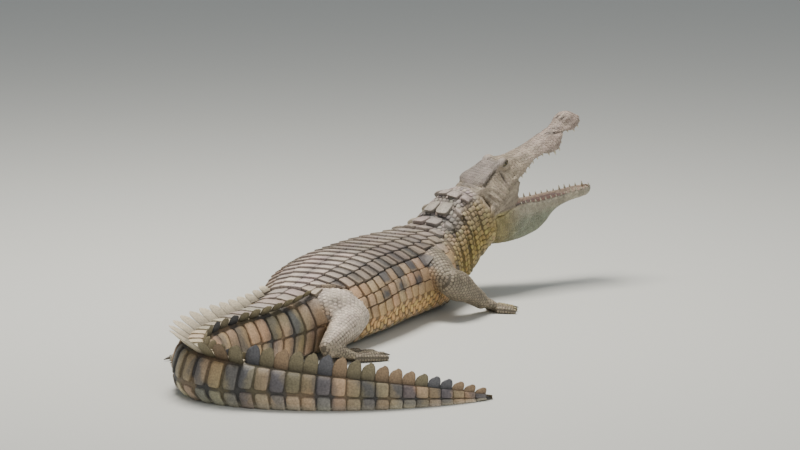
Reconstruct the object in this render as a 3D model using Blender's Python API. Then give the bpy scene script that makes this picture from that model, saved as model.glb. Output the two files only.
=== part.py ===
"""Nile crocodile, life size, lying on its belly with the head raised and the jaws open.

The body follows one centre line, the spine, that runs in plan from the jaw hinge back to the tail tip.
Places along it are in metres from the hinge, headings in degrees from +X, turning left.
Neck, trunk and tail are lengths of one loft, parted by flat cuts; the head and the lower jaw are lofts
in frames of their own that meet at the hinge; limbs are tapered lofts, cut clear of what carries them.
"""
import math

import bmesh
import bpy
import numpy as np
from mathutils import Matrix, Vector

# Driving dimensions, metres
GAP = 0.0003
SLIVER = 0.00002
BODY_LENGTH = 2.39
NECK_END = 0.24
VENT = 1.00
HEAD_LENGTH = 0.424
JAW_LENGTH = 0.392
HINGE_HEIGHT = 0.2255

# Pose of the head, degrees
HEAD_YAW = -30
HEAD_PITCH = 34.5
JAW_PITCH = 7
NAPE_PITCH = 20

# The spine: heading, height of the back, height of the belly line, half width, lean of the section
HEADING = [(0, HEAD_YAW), (0.1, -20), (0.2, -10), (0.3, -5), (0.43, -2), (0.63, 3), (0.83, 6), (1.0, 4),
           (1.15, -4), (1.28, -7), (1.4, 2), (1.52, 30), (1.65, 72), (1.78, 98), (1.92, 112),
           (2.08, 127), (2.24, 139), (2.39, 147)]
BACK = [(0, 0.310), (0.05, 0.301), (0.1, 0.279), (0.14, 0.248), (0.18, 0.225), (0.22, 0.214),
        (0.27, 0.211), (0.34, 0.212), (0.43, 0.214), (0.63, 0.214), (0.81, 0.203), (0.93, 0.188),
        (1.0, 0.177), (1.13, 0.161), (1.33, 0.149), (1.53, 0.134), (1.78, 0.11), (2.03, 0.081),
        (2.28, 0.04), (2.39, 0.014)]
BELLY = [(0, 0.148), (0.05, 0.112), (0.1, 0.07), (0.15, 0.032), (0.2, 0.006), (0.24, -0.004),
         (2.39, -0.004)]
HALF_WIDTH = [(0, 0.099), (0.05, 0.1), (0.1, 0.106), (0.18, 0.125), (0.26, 0.145), (0.43, 0.165),
              (0.63, 0.172), (0.81, 0.16), (0.93, 0.13), (1.0, 0.105), (1.13, 0.088), (1.33, 0.073),
              (1.53, 0.06), (1.78, 0.042), (2.03, 0.026), (2.28, 0.012), (2.39, 0.004)]
LEAN = [(0, 20), (0.05, 17), (0.1, 12), (0.15, 7), (0.2, 3), (0.24, 0), (2.39, 0)]

# The tail crest: one scale for each whorl of the tail, in two rows that meet in one. The left row is
# taller and lies over outward at the bend of the tail; the right row stays low and upright.
WHORLS = 36
DOUBLE_WHORLS = 18
FIRST_PITCH = 0.0445
PITCH_SHRINK = 0.0085
CREST_HEIGHT = [(1.0, 0.014), (1.13, 0.024), (1.3, 0.038), (1.45, 0.052), (1.62, 0.056), (1.76, 0.048),
                (1.95, 0.05), (2.13, 0.036), (2.39, 0.012)]
RIGHT_SHARE = [(1.0, 1.0), (1.13, 0.8), (1.4, 0.5), (1.76, 0.45)]
CREST_OFFSET = [(1.0, 0.062), (1.13, 0.05), (1.3, 0.034), (1.45, 0.024), (1.6, 0.018), (1.76, 0.01)]
LEFT_SPLAY = [(1.0, 40), (1.3, 46), (1.5, 56), (1.62, 50), (1.76, 14)]
RIGHT_SPLAY = [(1.0, 45), (1.13, 42), (1.4, 25), (1.76, 8)]
TAIL_CUTS = [0, 6, 12, 18, 27]

# The skull, by distance from the snout tip
LIP_HALF_WIDTH = [(0, 0.02), (0.012, 0.034), (0.035, 0.042), (0.062, 0.04), (0.076, 0.035),
                  (0.092, 0.04), (0.13, 0.049), (0.17, 0.048), (0.21, 0.05), (0.27, 0.06),
                  (0.33, 0.077), (0.38, 0.092), (0.43, 0.099)]
SKULL_TOP = [(0, 0.018), (0.01, 0.034), (0.03, 0.042), (0.05, 0.042), (0.075, 0.04), (0.12, 0.043),
             (0.18, 0.051), (0.23, 0.061), (0.262, 0.071), (0.285, 0.079), (0.32, 0.086),
             (0.36, 0.09), (0.378, 0.088), (0.39, 0.082), (0.43, 0.082)]
EDGE_HALF_WIDTH = [(0, 0.01), (0.012, 0.022), (0.035, 0.029), (0.06, 0.026), (0.08, 0.023),
                   (0.13, 0.028), (0.2, 0.03), (0.25, 0.031), (0.28, 0.036), (0.31, 0.042),
                   (0.34, 0.049), (0.377, 0.06), (0.43, 0.06)]
EDGE_HEIGHT = [(0, 0.014), (0.01, 0.028), (0.03, 0.036), (0.05, 0.035), (0.075, 0.032),
               (0.12, 0.035), (0.18, 0.042), (0.23, 0.054), (0.26, 0.07), (0.283, 0.085),
               (0.305, 0.0875), (0.335, 0.0885), (0.36, 0.09), (0.377, 0.086), (0.39, 0.075),
               (0.43, 0.071)]
LIP_HEIGHT = [(0, 0.008), (0.02, 0.003), (0.045, 0.001), (0.06, 0.009), (0.072, 0.013), (0.086, 0.006),
              (0.118, -0.008), (0.145, -0.001), (0.17, 0.013), (0.2, 0.02), (0.24, 0.016),
              (0.28, 0.013), (0.32, 0.013), (0.36, 0.009), (0.43, 0.002)]
FLANK_BULGE = [(0, 0.6), (0.25, 0.5), (0.33, 0.3), (0.43, 0.3)]

# The lower jaw, by distance from its tip
JAW_HALF_WIDTH = [(0, 0.013), (0.012, 0.026), (0.04, 0.035), (0.075, 0.034), (0.12, 0.042),
                  (0.18, 0.046), (0.245, 0.057), (0.3, 0.075), (0.35, 0.09), (0.392, 0.096)]
JAW_DEPTH = [(0, 0.014), (0.03, 0.024), (0.1, 0.028), (0.19, 0.034), (0.28, 0.048), (0.335, 0.06),
             (0.392, 0.068)]
JAW_RISE = [(0, 0), (0.19, 0), (0.25, 0.009), (0.285, 0.012), (0.32, 0.009), (0.36, 0), (0.392, 0)]
THROAT_DEPTH = [(0, 0.014), (0.03, 0.024), (0.08, 0.03), (0.11, 0.036), (0.14, 0.05), (0.17, 0.076),
                (0.21, 0.095), (0.27, 0.101), (0.33, 0.097), (0.392, 0.086)]

# Eyes, teeth and tongue
EYE_RADIUS = 0.0165
EYE_PLACE = (0.137, 0.0345, 0.0705)
TEETH_PER_SIDE = 13
TOOTH_LENGTH = [(0, 0.011), (3, 0.018), (6, 0.012), (8, 0.02), (10, 0.012), (12, 0.009)]
TOOTH_SINK = 0.004

SKIN_TAN = (0.30, 0.25, 0.17)
SKIN_GREY = (0.27, 0.25, 0.21)
SKIN_PALE = (0.45, 0.41, 0.33)


def follow(stations, place):
    """Value at a place, on a smooth curve through (place, value) stations that adds no bumps."""
    places = [station[0] for station in stations]
    values = [station[1] for station in stations]
    place = min(max(place, places[0]), places[-1])
    steps = np.diff(places)
    slopes = np.diff(values) / steps
    tangents = [slopes[0]]
    for before, after in zip(slopes, slopes[1:]):
        tangents.append(2 * before * after / (before + after) if before * after > 0 else 0.0)
    tangents.append(slopes[-1])
    i = min(max(int(np.searchsorted(places, place)) - 1, 0), len(steps) - 1)
    t = (place - places[i]) / steps[i]
    rise = values[i + 1] - values[i]
    swing = tangents[i] * t * (1 - t) ** 2 - tangents[i + 1] * t * t * (1 - t)
    return float(values[i] + rise * t * t * (3 - 2 * t) + steps[i] * swing)


def heading_vector(degrees, pitch=0.0):
    """Unit vector that points forward at a heading and a pitch, both in degrees."""
    turn, climb = math.radians(degrees), math.radians(pitch)
    return Vector((math.cos(turn) * math.cos(climb), math.sin(turn) * math.cos(climb), math.sin(climb)))


SPINE_STEP = 0.005
SPINE_POINTS = [Vector((0, 0, 0))]
for step in range(round(BODY_LENGTH / SPINE_STEP)):
    middle = (step + 0.5) * SPINE_STEP
    SPINE_POINTS.append(SPINE_POINTS[-1] - heading_vector(follow(HEADING, middle)) * SPINE_STEP)


def spine(place):
    """Plan position of the centre line at a place along it."""
    index = min(int(place / SPINE_STEP), len(SPINE_POINTS) - 2)
    return SPINE_POINTS[index].lerp(SPINE_POINTS[index + 1], place / SPINE_STEP - index)


def beside(place, side, height):
    """World point beside the centre line: side is to the animal's left, height above the floor."""
    left = heading_vector(follow(HEADING, place) + 90)
    point = spine(place) + left * side
    return Vector((point.x, point.y, height))


def arc(half_width, rise, power, angle):
    """Point of a superellipse quarter: sideways and upward share at an angle in degrees."""
    turn = math.radians(angle)
    return (half_width * math.cos(turn) ** (2 / power), rise * math.sin(turn) ** (2 / power))


def make_object(name, mesh_data, colour, roughness=0.6):
    """Put a finished bmesh into the scene as one named, coloured object."""
    bmesh.ops.triangulate(mesh_data, faces=mesh_data.faces)
    bmesh.ops.recalc_face_normals(mesh_data, faces=mesh_data.faces)
    mesh = bpy.data.meshes.new(name)
    mesh_data.to_mesh(mesh)
    mesh_data.free()
    material = bpy.data.materials.new(name)
    material.use_nodes = True
    shader = material.node_tree.nodes["Principled BSDF"]
    shader.inputs["Base Color"].default_value = (*colour, 1)
    shader.inputs["Roughness"].default_value = roughness
    shader.inputs["Metallic"].default_value = 0
    mesh.materials.append(material)
    made = bpy.data.objects.new(name, mesh)
    bpy.context.collection.objects.link(made)
    mesh.shade_smooth()
    mesh.set_sharp_from_angle(angle=math.radians(40))
    return made


def loft(rings):
    """Closed bmesh through rings of equal point counts, capped flat at both ends."""
    mesh_data = bmesh.new()
    loops = [[mesh_data.verts.new(point) for point in ring] for ring in rings]
    for front, rear in zip(loops, loops[1:]):
        for i in range(len(front)):
            j = (i + 1) % len(front)
            mesh_data.faces.new((front[i], front[j], rear[j], rear[i]))
    mesh_data.faces.new(loops[0])
    mesh_data.faces.new(loops[-1])
    return mesh_data


def mirrored(half):
    """Whole outline from its left half, which runs from the top middle to the bottom middle."""
    return half + [(-side, height) for side, height in reversed(half[1:-1])]


def settle(target):
    """Replace an object's mesh by its modified shape, in triangles, with no slivers."""
    shaped = bpy.data.meshes.new_from_object(
        target.evaluated_get(bpy.context.evaluated_depsgraph_get()))
    target.modifiers.clear()
    mesh_data = bmesh.new()
    mesh_data.from_mesh(shaped)
    bmesh.ops.dissolve_degenerate(mesh_data, edges=mesh_data.edges, dist=SLIVER)
    bmesh.ops.triangulate(mesh_data, faces=mesh_data.faces)
    mesh_data.to_mesh(shaped)
    mesh_data.free()
    target.data = shaped


def combine(target, others, operation):
    """Boolean of a target with each of some other objects, which stay unless they are removed."""
    for other in others:
        modifier = target.modifiers.new(operation.lower(), "BOOLEAN")
        modifier.operation = operation
        modifier.solver = "EXACT"
        modifier.object = other
        settle(target)


def remove(objects):
    """Take used tools out of the scene."""
    for used in objects:
        bpy.data.objects.remove(used)


def tool(name, mesh_data):
    """A hidden shape that only cuts or joins."""
    made = make_object(name, mesh_data, SKIN_GREY)
    made.hide_render = True
    made.display_type = "WIRE"
    return made


def swollen(source, amount=GAP):
    """A tool of the same shape as an object, grown outward by the clearance."""
    mesh_data = bmesh.new()
    mesh_data.from_mesh(source.data)
    mesh_data.normal_update()
    for vert in mesh_data.verts:
        vert.co += vert.normal * amount
    return tool("swollen_" + source.name, mesh_data)


def clear_of(target, neighbours):
    """Cut a target back to the clearance from each neighbour."""
    cutters = [swollen(neighbour) for neighbour in neighbours]
    combine(target, cutters, "DIFFERENCE")
    remove(cutters)


def body_ring(place, outline, shift=0.0):
    """World ring from a whole outline of (side, height above floor), leaned about the hinge's level."""
    lean = math.radians(follow(LEAN, place))
    heading = follow(HEADING, place)
    left = heading_vector(heading + 90)
    forward = heading_vector(heading)
    base = spine(place) + forward * shift
    ring = []
    for side, height in outline:
        back = (height - HINGE_HEIGHT) * math.tan(lean)
        ring.append(base + left * side - forward * back + Vector((0, 0, height)))
    return ring


BODY_ANGLES = (90, 70, 52, 34, 17, 0, -20, -40, -58, -74, -90)
WAIST = 0.43
BACK_POWER = 2.3
BELLY_POWER = [(VENT, 3.0), (1.45, 2.2)]


def body_outline(place):
    """Left half of the plain body section: arched back, full flank, flat belly."""
    top, bottom = follow(BACK, place), follow(BELLY, place)
    half_width = follow(HALF_WIDTH, place)
    waist = bottom + WAIST * (top - bottom)
    outline = []
    for angle in BODY_ANGLES:
        power = BACK_POWER if angle >= 0 else follow(BELLY_POWER, place)
        side, rise = arc(half_width, 1, power, abs(angle))
        height = waist + rise * (top - waist) if angle >= 0 else waist - rise * (waist - bottom)
        outline.append((side if abs(angle) < 90 else 0.0, max(height, 0.0)))
    return outline


def trunk_length(name, start, end, rings, colour):
    """One length of neck or trunk between two flat cuts."""
    places = [start + (end - start) * i / (rings - 1) for i in range(rings)]
    shifts = [-GAP / 2] + [0] * (rings - 2) + [GAP / 2]
    loops = [body_ring(place, mirrored(body_outline(place)), shift) for place, shift in zip(places, shifts)]
    return make_object(name, loft(loops), colour)


def whorl_place(number):
    """Place of the front edge of a tail whorl."""
    return VENT + FIRST_PITCH * (number - PITCH_SHRINK * number * (number - 1) / 2)


TAIL_ANGLES = (36, 8, -22, -54, -90)
CREST_FOOT = 0.011


def tail_half(place, crest, double, height, splay):
    """Half of a tail section from top to bottom, with its crest raised to a share of a full height."""
    top, half_width = follow(BACK, place), follow(HALF_WIDTH, place)
    waist = WAIST * top
    height *= crest
    if double:
        offset = follow(CREST_OFFSET, place)
        foot = min(CREST_FOOT, offset * 0.5)
        tip = (offset + height * math.sin(splay), top + height * math.cos(splay))
        outline = [(0.0, top - 0.002), (offset - foot, top), tip, (offset + foot, top - 0.006)]
    else:
        foot = min(CREST_FOOT, half_width * 0.6)
        outline = [(0.0, top + height), (foot * 0.45, top + height * 0.45), (foot, top - 0.003)]
    for angle in TAIL_ANGLES:
        power = BACK_POWER if angle >= 0 else follow(BELLY_POWER, place)
        side, rise = arc(half_width, 1, power, abs(angle))
        level = waist + rise * (top - waist) if angle >= 0 else waist - rise * (waist + 0.004)
        outline.append((side if angle > -90 else 0.0, max(level, 0.0)))
    return outline


def tail_outline(place, crest, double):
    """Whole tail section: a taller, outward crest on the left, a lower one on the right."""
    height = follow(CREST_HEIGHT, place)
    left = tail_half(place, crest, double, height, math.radians(follow(LEFT_SPLAY, place)))
    right = tail_half(place, crest, double, height * follow(RIGHT_SHARE, place),
                      math.radians(follow(RIGHT_SPLAY, place)))
    return left + [(-side, level) for side, level in reversed(right[1:-1])]


LOW_CREST = 0.3
SCALE_SHARE = 0.84


def tail_length(name, first, last, colour):
    """One length of tail: each whorl starts low and rises to the free rear edge of its crest scale."""
    loops = []
    double = first < DOUBLE_WHORLS
    for number in range(first, last):
        start = whorl_place(number)
        pitch = whorl_place(number + 1) - start
        shift = -GAP / 2 if number == first else 0
        loops.append(body_ring(start, tail_outline(start, LOW_CREST, double), shift))
        rear = start + pitch * SCALE_SHARE
        loops.append(body_ring(rear, tail_outline(rear, 1, double)))
    end = whorl_place(last)
    loops.append(body_ring(end, tail_outline(end, LOW_CREST, double), GAP / 2))
    return make_object(name, loft(loops), colour)


def head_frame(pitch):
    """Frame with its origin at the jaw hinge, X forward along the jaw, Y left and Z up from it."""
    turn = Matrix.Rotation(math.radians(HEAD_YAW), 4, "Z")
    climb = Matrix.Rotation(-math.radians(pitch), 4, "Y")
    return Matrix.Translation((0, 0, HINGE_HEIGHT)) @ turn @ climb


SKULL_FRAME = head_frame(HEAD_PITCH)
JAW_FRAME = head_frame(JAW_PITCH)


def nape_cut(height, pitch):
    """How far forward the flat cut behind the head lies, at a height in a jaw's frame."""
    tilt = math.radians(pitch - NAPE_PITCH)
    return height * math.tan(tilt) + GAP / math.cos(tilt)


def skull_outline(distance):
    """Left half of the skull's section: crown, table edge, cheek, lip, gum and palate."""
    lip, top = follow(LIP_HALF_WIDTH, distance), follow(SKULL_TOP, distance)
    edge, edge_height = follow(EDGE_HALF_WIDTH, distance), follow(EDGE_HEIGHT, distance)
    lip_height, bulge = follow(LIP_HEIGHT, distance), follow(FLANK_BULGE, distance)
    fall = edge_height - lip_height
    gum = lip * 0.8
    return [(0.0, top), (edge * 0.6, top * 0.6 + edge_height * 0.4), (edge, edge_height),
            (edge + (lip - edge) * bulge * 0.8, edge_height - fall * 0.3),
            (edge + (lip - edge) * (0.35 + bulge), edge_height - fall * 0.62),
            (lip, lip_height + fall * 0.12), (lip - 0.003, lip_height), (gum, lip_height),
            (gum - 0.004, lip_height + 0.006), (0.0, max(lip_height + 0.008, 0.002))]


SKULL_STATIONS = (0.0, 0.006, 0.016, 0.035, 0.052, 0.066, 0.078, 0.09, 0.108, 0.128, 0.15, 0.175, 0.2,
                  0.225, 0.245, 0.26, 0.275, 0.29, 0.305, 0.325, 0.35, 0.366, 0.379, 0.392)


def framed(frame, points):
    """Points of a jaw's frame in the world."""
    return [frame @ Vector(point) for point in points]


def make_head():
    """Upper jaw and skull in one solid, flat-cut at the nape."""
    rings = []
    for distance in SKULL_STATIONS:
        outline = mirrored(skull_outline(distance))
        rings.append(framed(SKULL_FRAME, [(HEAD_LENGTH - distance, y, z) for y, z in outline]))
    outline = mirrored(skull_outline(HEAD_LENGTH))
    rings.append(framed(SKULL_FRAME, [(nape_cut(z, HEAD_PITCH), y, z) for y, z in outline]))
    return make_object("head", loft(rings), SKIN_GREY)


def jaw_outline(distance):
    """Left half of the lower jaw's section: mouth floor, gum, rim, outer face and throat."""
    rim = follow(JAW_HALF_WIDTH, distance)
    depth, throat = follow(JAW_DEPTH, distance), follow(THROAT_DEPTH, distance)
    rise = follow(JAW_RISE, distance)
    inner = rim * 0.74
    floor = -0.002 - min(depth * 0.35, 0.014)
    return [(0.0, floor), (inner * 0.7, floor), (inner, rise - 0.002), (rim - 0.004, rise - 0.0012),
            (rim, rise - 0.005), (rim, -depth * 0.5), (rim * 0.92, -depth * 0.9),
            (rim * 0.7, -(depth * 0.35 + throat * 0.55)), (rim * 0.36, -throat * 0.96), (0.0, -throat)]


JAW_STATIONS = (0.0, 0.006, 0.016, 0.035, 0.06, 0.085, 0.11, 0.135, 0.16, 0.19, 0.22, 0.255, 0.29, 0.325,
                0.36)


def make_lower_jaw():
    """Lower jaw with the throat pouch that hangs between its branches."""
    rings = []
    for distance in JAW_STATIONS:
        outline = mirrored(jaw_outline(distance))
        rings.append(framed(JAW_FRAME, [(JAW_LENGTH - distance, y, z) for y, z in outline]))
    outline = mirrored(jaw_outline(JAW_LENGTH))
    rings.append(framed(JAW_FRAME, [(nape_cut(z, JAW_PITCH), y, z) for y, z in outline]))
    return make_object("lower_jaw", loft(rings), SKIN_PALE)


TOOTH_SIDES = 4
TOOTH_RADIUS = 0.0038


def tooth_cones(frame, length, stations, inset, gum_height, downward):
    """All the teeth of one jaw as separate cones, set along the gum on both sides."""
    mesh_data = bmesh.new()
    for side in (-1, 1):
        for number in range(TEETH_PER_SIDE):
            distance = 0.014 + 0.29 * (number / (TEETH_PER_SIDE - 1)) ** 1.05
            across = side * (follow(stations, distance) - inset)
            height = gum_height(distance)
            tall = follow(TOOTH_LENGTH, number) + TOOTH_SINK
            turn = Matrix.Rotation(math.pi, 4, "X") if downward else Matrix.Identity(4)
            sink = TOOTH_SINK if downward else -TOOTH_SINK
            root = Matrix.Translation((length - distance, across, height + sink))
            lift = Matrix.Translation((0, 0, tall / 2))
            bmesh.ops.create_cone(mesh_data, cap_ends=True, segments=TOOTH_SIDES,
                                  radius1=TOOTH_RADIUS, radius2=0, depth=tall,
                                  matrix=frame @ root @ turn @ lift)
    return tool("teeth", mesh_data)


def add_teeth(head, lower_jaw):
    """Join both rows of teeth to the jaws they grow from."""
    upper = tooth_cones(SKULL_FRAME, HEAD_LENGTH, LIP_HALF_WIDTH, 0.0075,
                        lambda distance: follow(LIP_HEIGHT, distance), True)
    lower = tooth_cones(JAW_FRAME, JAW_LENGTH, JAW_HALF_WIDTH, 0.0075,
                        lambda distance: follow(JAW_RISE, distance) - 0.0016, False)
    combine(head, [upper], "UNION")
    combine(lower_jaw, [lower], "UNION")
    remove([upper, lower])


def add_eyes(head):
    """Two eyeballs, each in a round socket with the clearance all round."""
    for name, side in (("eye_left", 1), ("eye_right", -1)):
        x, y, z = EYE_PLACE
        place = Matrix.Translation(SKULL_FRAME @ Vector((x, side * y, z)))
        ball = bmesh.new()
        bmesh.ops.create_icosphere(ball, subdivisions=2, radius=EYE_RADIUS, matrix=place)
        made = make_object(name, ball, (0.35, 0.28, 0.08), 0.15)
        clear_of(head, [made])


def make_tongue(lower_jaw):
    """Flat tongue that fills the floor of the mouth and is bound to it all along."""
    rings = []
    for distance in (0.09, 0.105, 0.14, 0.19, 0.24, 0.29, 0.33):
        half_width = follow(JAW_HALF_WIDTH, distance) * 0.5
        if distance < 0.1:
            half_width *= 0.5
        floor = jaw_outline(distance)[0][1] + GAP
        crown = floor + (0.012 if distance > 0.1 else 0.006)
        half = [(0.0, crown), (half_width * 0.7, crown - 0.002), (half_width, floor + 0.003),
                (half_width * 0.85, floor), (0.0, floor)]
        outline = mirrored(half)
        rings.append(framed(JAW_FRAME, [(JAW_LENGTH - distance, y, z) for y, z in outline]))
    tongue = make_object("tongue", loft(rings), (0.55, 0.33, 0.33))
    clear_of(tongue, [lower_jaw])
    return tongue


LEG_SIDES = 10
SOLE_SIDES = 8
TOE_SIDES = 6
CLAW_SIDES = 5


def limb(points, widths, heights, sides=LEG_SIDES):
    """Tapered round loft through points, with a half width and a half height at each."""
    rings = []
    for i, point in enumerate(points):
        along = (points[min(i + 1, len(points) - 1)] - points[max(i - 1, 0)]).normalized()
        side = along.cross(Vector((0, 0, 1)))
        side = side.normalized() if side.length > 0.05 else Vector((0, 1, 0))
        up = side.cross(along)
        ring = []
        for k in range(sides):
            turn = 2 * math.pi * (k + 0.5) / sides
            ring.append(point + side * widths[i] * math.cos(turn) + up * heights[i] * math.sin(turn))
        rings.append(ring)
    return loft(rings)


def bent(start, end, bulge, steps):
    """Points from start to end, pushed out along a bulge vector as an arch."""
    return [start.lerp(end, i / steps) + bulge * math.sin(math.pi * i / steps) for i in range(steps + 1)]


def eased(values, steps):
    """Values at equal steps on a smooth curve through equally spaced ones."""
    stations = [(i / (len(values) - 1), value) for i, value in enumerate(values)]
    return [follow(stations, i / steps) for i in range(steps + 1)]


FLOOR_DEPTH = 0.05


def floor_block(centre):
    """A block whose top face is the floor, under one foot."""
    mesh_data = bmesh.new()
    size = Matrix.Diagonal((0.8, 0.8, FLOOR_DEPTH, 1))
    place = Matrix.Translation((centre.x, centre.y, -FLOOR_DEPTH / 2))
    bmesh.ops.create_cube(mesh_data, size=1, matrix=place @ size)
    return tool("floor", mesh_data)


def digit(root, heading, length, radius):
    """One toe: a knuckled finger that dips to lie on the floor, and where its claw starts."""
    forward = heading_vector(heading)
    heights = (root.z, radius * 0.9, radius * 0.7)
    shares = (0, 0.6, 1)
    points = []
    for share, height in zip(shares, heights):
        point = root + forward * length * share
        points.append(Vector((point.x, point.y, height)))
    widths = [radius * scale for scale in (1.05, 1.0, 0.72)]
    return limb(points, widths, widths, TOE_SIDES), points[-1], forward


def claw(tip, forward, length, radius):
    """A pointed claw that curves down from a toe tip to just above the floor."""
    points, sizes = [], []
    for share in (0, 0.6, 1):
        point = tip + forward * (length * share - 0.006)
        drop = (tip.z - 0.0035) * share * share
        points.append(Vector((point.x, point.y, tip.z + radius * 0.1 - drop)))
        sizes.append(radius * (1 - share * 0.85))
    return limb(points, sizes, sizes, CLAW_SIDES)


def make_foot(name, ankle, headings, lengths, radius, palm, web, lower, clawed):
    """A foot: sole, toes and web in one solid cut flat at the floor, then its separate claws."""
    middle = sum(headings) / len(headings)
    forward, side = heading_vector(middle), heading_vector(middle + 90)
    sole_end = ankle + forward * palm[0]
    sole_end.z = radius * 1.1
    sole = limb(bent(ankle, sole_end, Vector((0, 0, 0.002)), 3),
                eased((palm[1] * 0.6, palm[1] * 0.8, palm[1]), 3),
                eased((palm[2], palm[2] * 0.7, radius * 1.15), 3), SOLE_SIDES)
    foot = make_object(name, sole, SKIN_GREY)
    toes, claws = [], []
    spread = math.copysign(palm[1] * 1.5, headings[-1] - headings[0])
    for i, (turn, length) in enumerate(zip(headings, lengths)):
        across = (i / (len(headings) - 1) - 0.5) * spread
        root = sole_end + side * across - forward * 0.012
        mesh_data, tip, toward = digit(root, turn, length, radius)
        toes.append(tool(name + "_toe", mesh_data))
        claws.append((tip, toward))
    if web:
        points = [ankle.lerp(sole_end, 0.8)]
        for (tip, toward), length in zip(claws, lengths):
            points.append(tip - toward * length * web)
        toes.append(tool(name + "_web", web_plate(points, radius)))
    combine(foot, toes, "UNION")
    ground = floor_block(ankle)
    combine(foot, [ground], "DIFFERENCE")
    clear_of(foot, [lower])
    for i, number in enumerate(clawed):
        tip, toward = claws[number]
        nail = make_object(f"{name}_claw_{i + 1}", claw(tip, toward, 0.026, radius * 0.52),
                           (0.12, 0.1, 0.08), 0.35)
        clear_of(nail, [foot])
    remove(toes + [ground])
    return foot


def web_plate(points, radius):
    """A thin fan of skin between the toes, just above the floor."""
    low, high = 0.0015, radius * 0.75
    mesh_data = bmesh.new()
    bottom = [mesh_data.verts.new((point.x, point.y, low)) for point in points]
    top = [mesh_data.verts.new((point.x, point.y, high)) for point in points]
    mesh_data.faces.new(bottom)
    mesh_data.faces.new(top)
    for i in range(len(points)):
        j = (i + 1) % len(points)
        mesh_data.faces.new((bottom[i], bottom[j], top[j], top[i]))
    return mesh_data


def make_leg(names, joints, bulges, widths, heights, foot, carriers):
    """Upper length, lower length and foot of one leg, each cut clear of the one above it."""
    root, knee, ankle = joints
    upper = make_object(names[0], limb(bent(root, knee, bulges[0], 6), eased(widths[0], 6),
                                       eased(heights[0], 6)), SKIN_TAN)
    clear_of(upper, carriers)
    lower = make_object(names[1], limb(bent(knee, ankle, bulges[1], 5), eased(widths[1], 5),
                                       eased(heights[1], 5)), SKIN_TAN)
    clear_of(lower, [upper] + carriers)
    make_foot(names[2], ankle, *foot, lower=lower, clawed=(0, 1, 2))


# How each hind leg lies: its drop at the hip, its knee's height, its share of full thickness and the
# turn of its foot. The left one trails low with its foot stretched back, the right one is folded.
HIND_LIE = {1: (0.012, 0.06, 0.8, 135), -1: (0.0, 0.1, 1.0, 0)}


def make_legs(neck, trunk, tail_root):
    """Four legs folded beside the body, with hands and feet flat on the floor."""
    for side, word in ((1, "left"), (-1, "right")):
        turn = follow(HEADING, 0.3)
        fingers = [turn + side * angle for angle in (-12, 8, 26, 46, 68)]
        shoulder = beside(0.32, side * 0.07, 0.115)
        elbow = beside(0.41, side * 0.202, 0.112)
        wrist = beside(0.25, side * 0.228, 0.034)
        make_leg((f"arm_{word}", f"forearm_{word}", f"hand_{word}"), (shoulder, elbow, wrist),
                 (Vector((0, 0, 0.012)), Vector((0, 0, 0.004))),
                 ((0.062, 0.06, 0.048, 0.032), (0.036, 0.038, 0.03, 0.024)),
                 ((0.066, 0.064, 0.052, 0.036), (0.038, 0.042, 0.03, 0.023)),
                 (fingers, (0.05, 0.06, 0.064, 0.058, 0.046), 0.0095, (0.05, 0.034, 0.021), 0),
                 [neck, trunk])
        turn = follow(HEADING, 0.93)
        low, knee_height, thigh_height, foot_turn = HIND_LIE[side]
        toes = [turn + side * (angle + foot_turn) for angle in (6, 20, 34, 50)]
        hip = beside(0.98, side * 0.04, 0.1 - low)
        knee = beside(0.915, side * 0.152, knee_height)
        ankle = beside(1.08, side * 0.15, 0.042)
        make_leg((f"thigh_{word}", f"shank_{word}", f"foot_{word}"), (hip, knee, ankle),
                 (Vector((0, 0, 0.012 - low)), Vector((0, 0, 0.004))),
                 ((0.06, 0.064, 0.056, 0.036), (0.036, 0.042, 0.034, 0.024)),
                 ([height * thigh_height for height in (0.06, 0.064, 0.058, 0.04)],
                  [height * thigh_height for height in (0.042, 0.044, 0.034, 0.025)]),
                 (toes, (0.085, 0.1, 0.1, 0.085), 0.0105, (0.085, 0.036, 0.024), 0.45),
                 [trunk, tail_root])


def stand_on_origin():
    """Move everything so that the origin lies on the floor below the middle of the whole box."""
    solids = [made for made in bpy.data.objects if made.type == "MESH"]
    corners = [made.matrix_world @ vert.co for made in solids for vert in made.data.vertices]
    middle = Vector(((min(p.x for p in corners) + max(p.x for p in corners)) / 2,
                     (min(p.y for p in corners) + max(p.y for p in corners)) / 2, 0))
    for made in solids:
        made.data.transform(Matrix.Translation(-middle))


for old in list(bpy.data.objects):
    bpy.data.objects.remove(old)

neck = trunk_length("neck", 0, NECK_END, 7, SKIN_TAN)
trunk = trunk_length("trunk", NECK_END, VENT, 16, SKIN_TAN)
bounds = TAIL_CUTS + [WHORLS]
tails = [tail_length(f"tail_{i + 1}", first, last, SKIN_TAN)
         for i, (first, last) in enumerate(zip(bounds, bounds[1:]))]
head = make_head()
lower_jaw = make_lower_jaw()
add_eyes(head)
add_teeth(head, lower_jaw)
make_tongue(lower_jaw)
make_legs(neck, trunk, tails[0])
stand_on_origin()
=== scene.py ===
"""Nile crocodile at rest with its jaws open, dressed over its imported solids.

One hide replaces the flesh. Horny plates, beads and scales grow on it row by row; eyes, lids, teeth,
tongue and claws are pieces of their own. Lengths are in metres, angles in degrees.
"""

import math

import bpy
import numpy as np
from mathutils import Matrix, Vector, bvhtree, kdtree, noise


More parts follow.
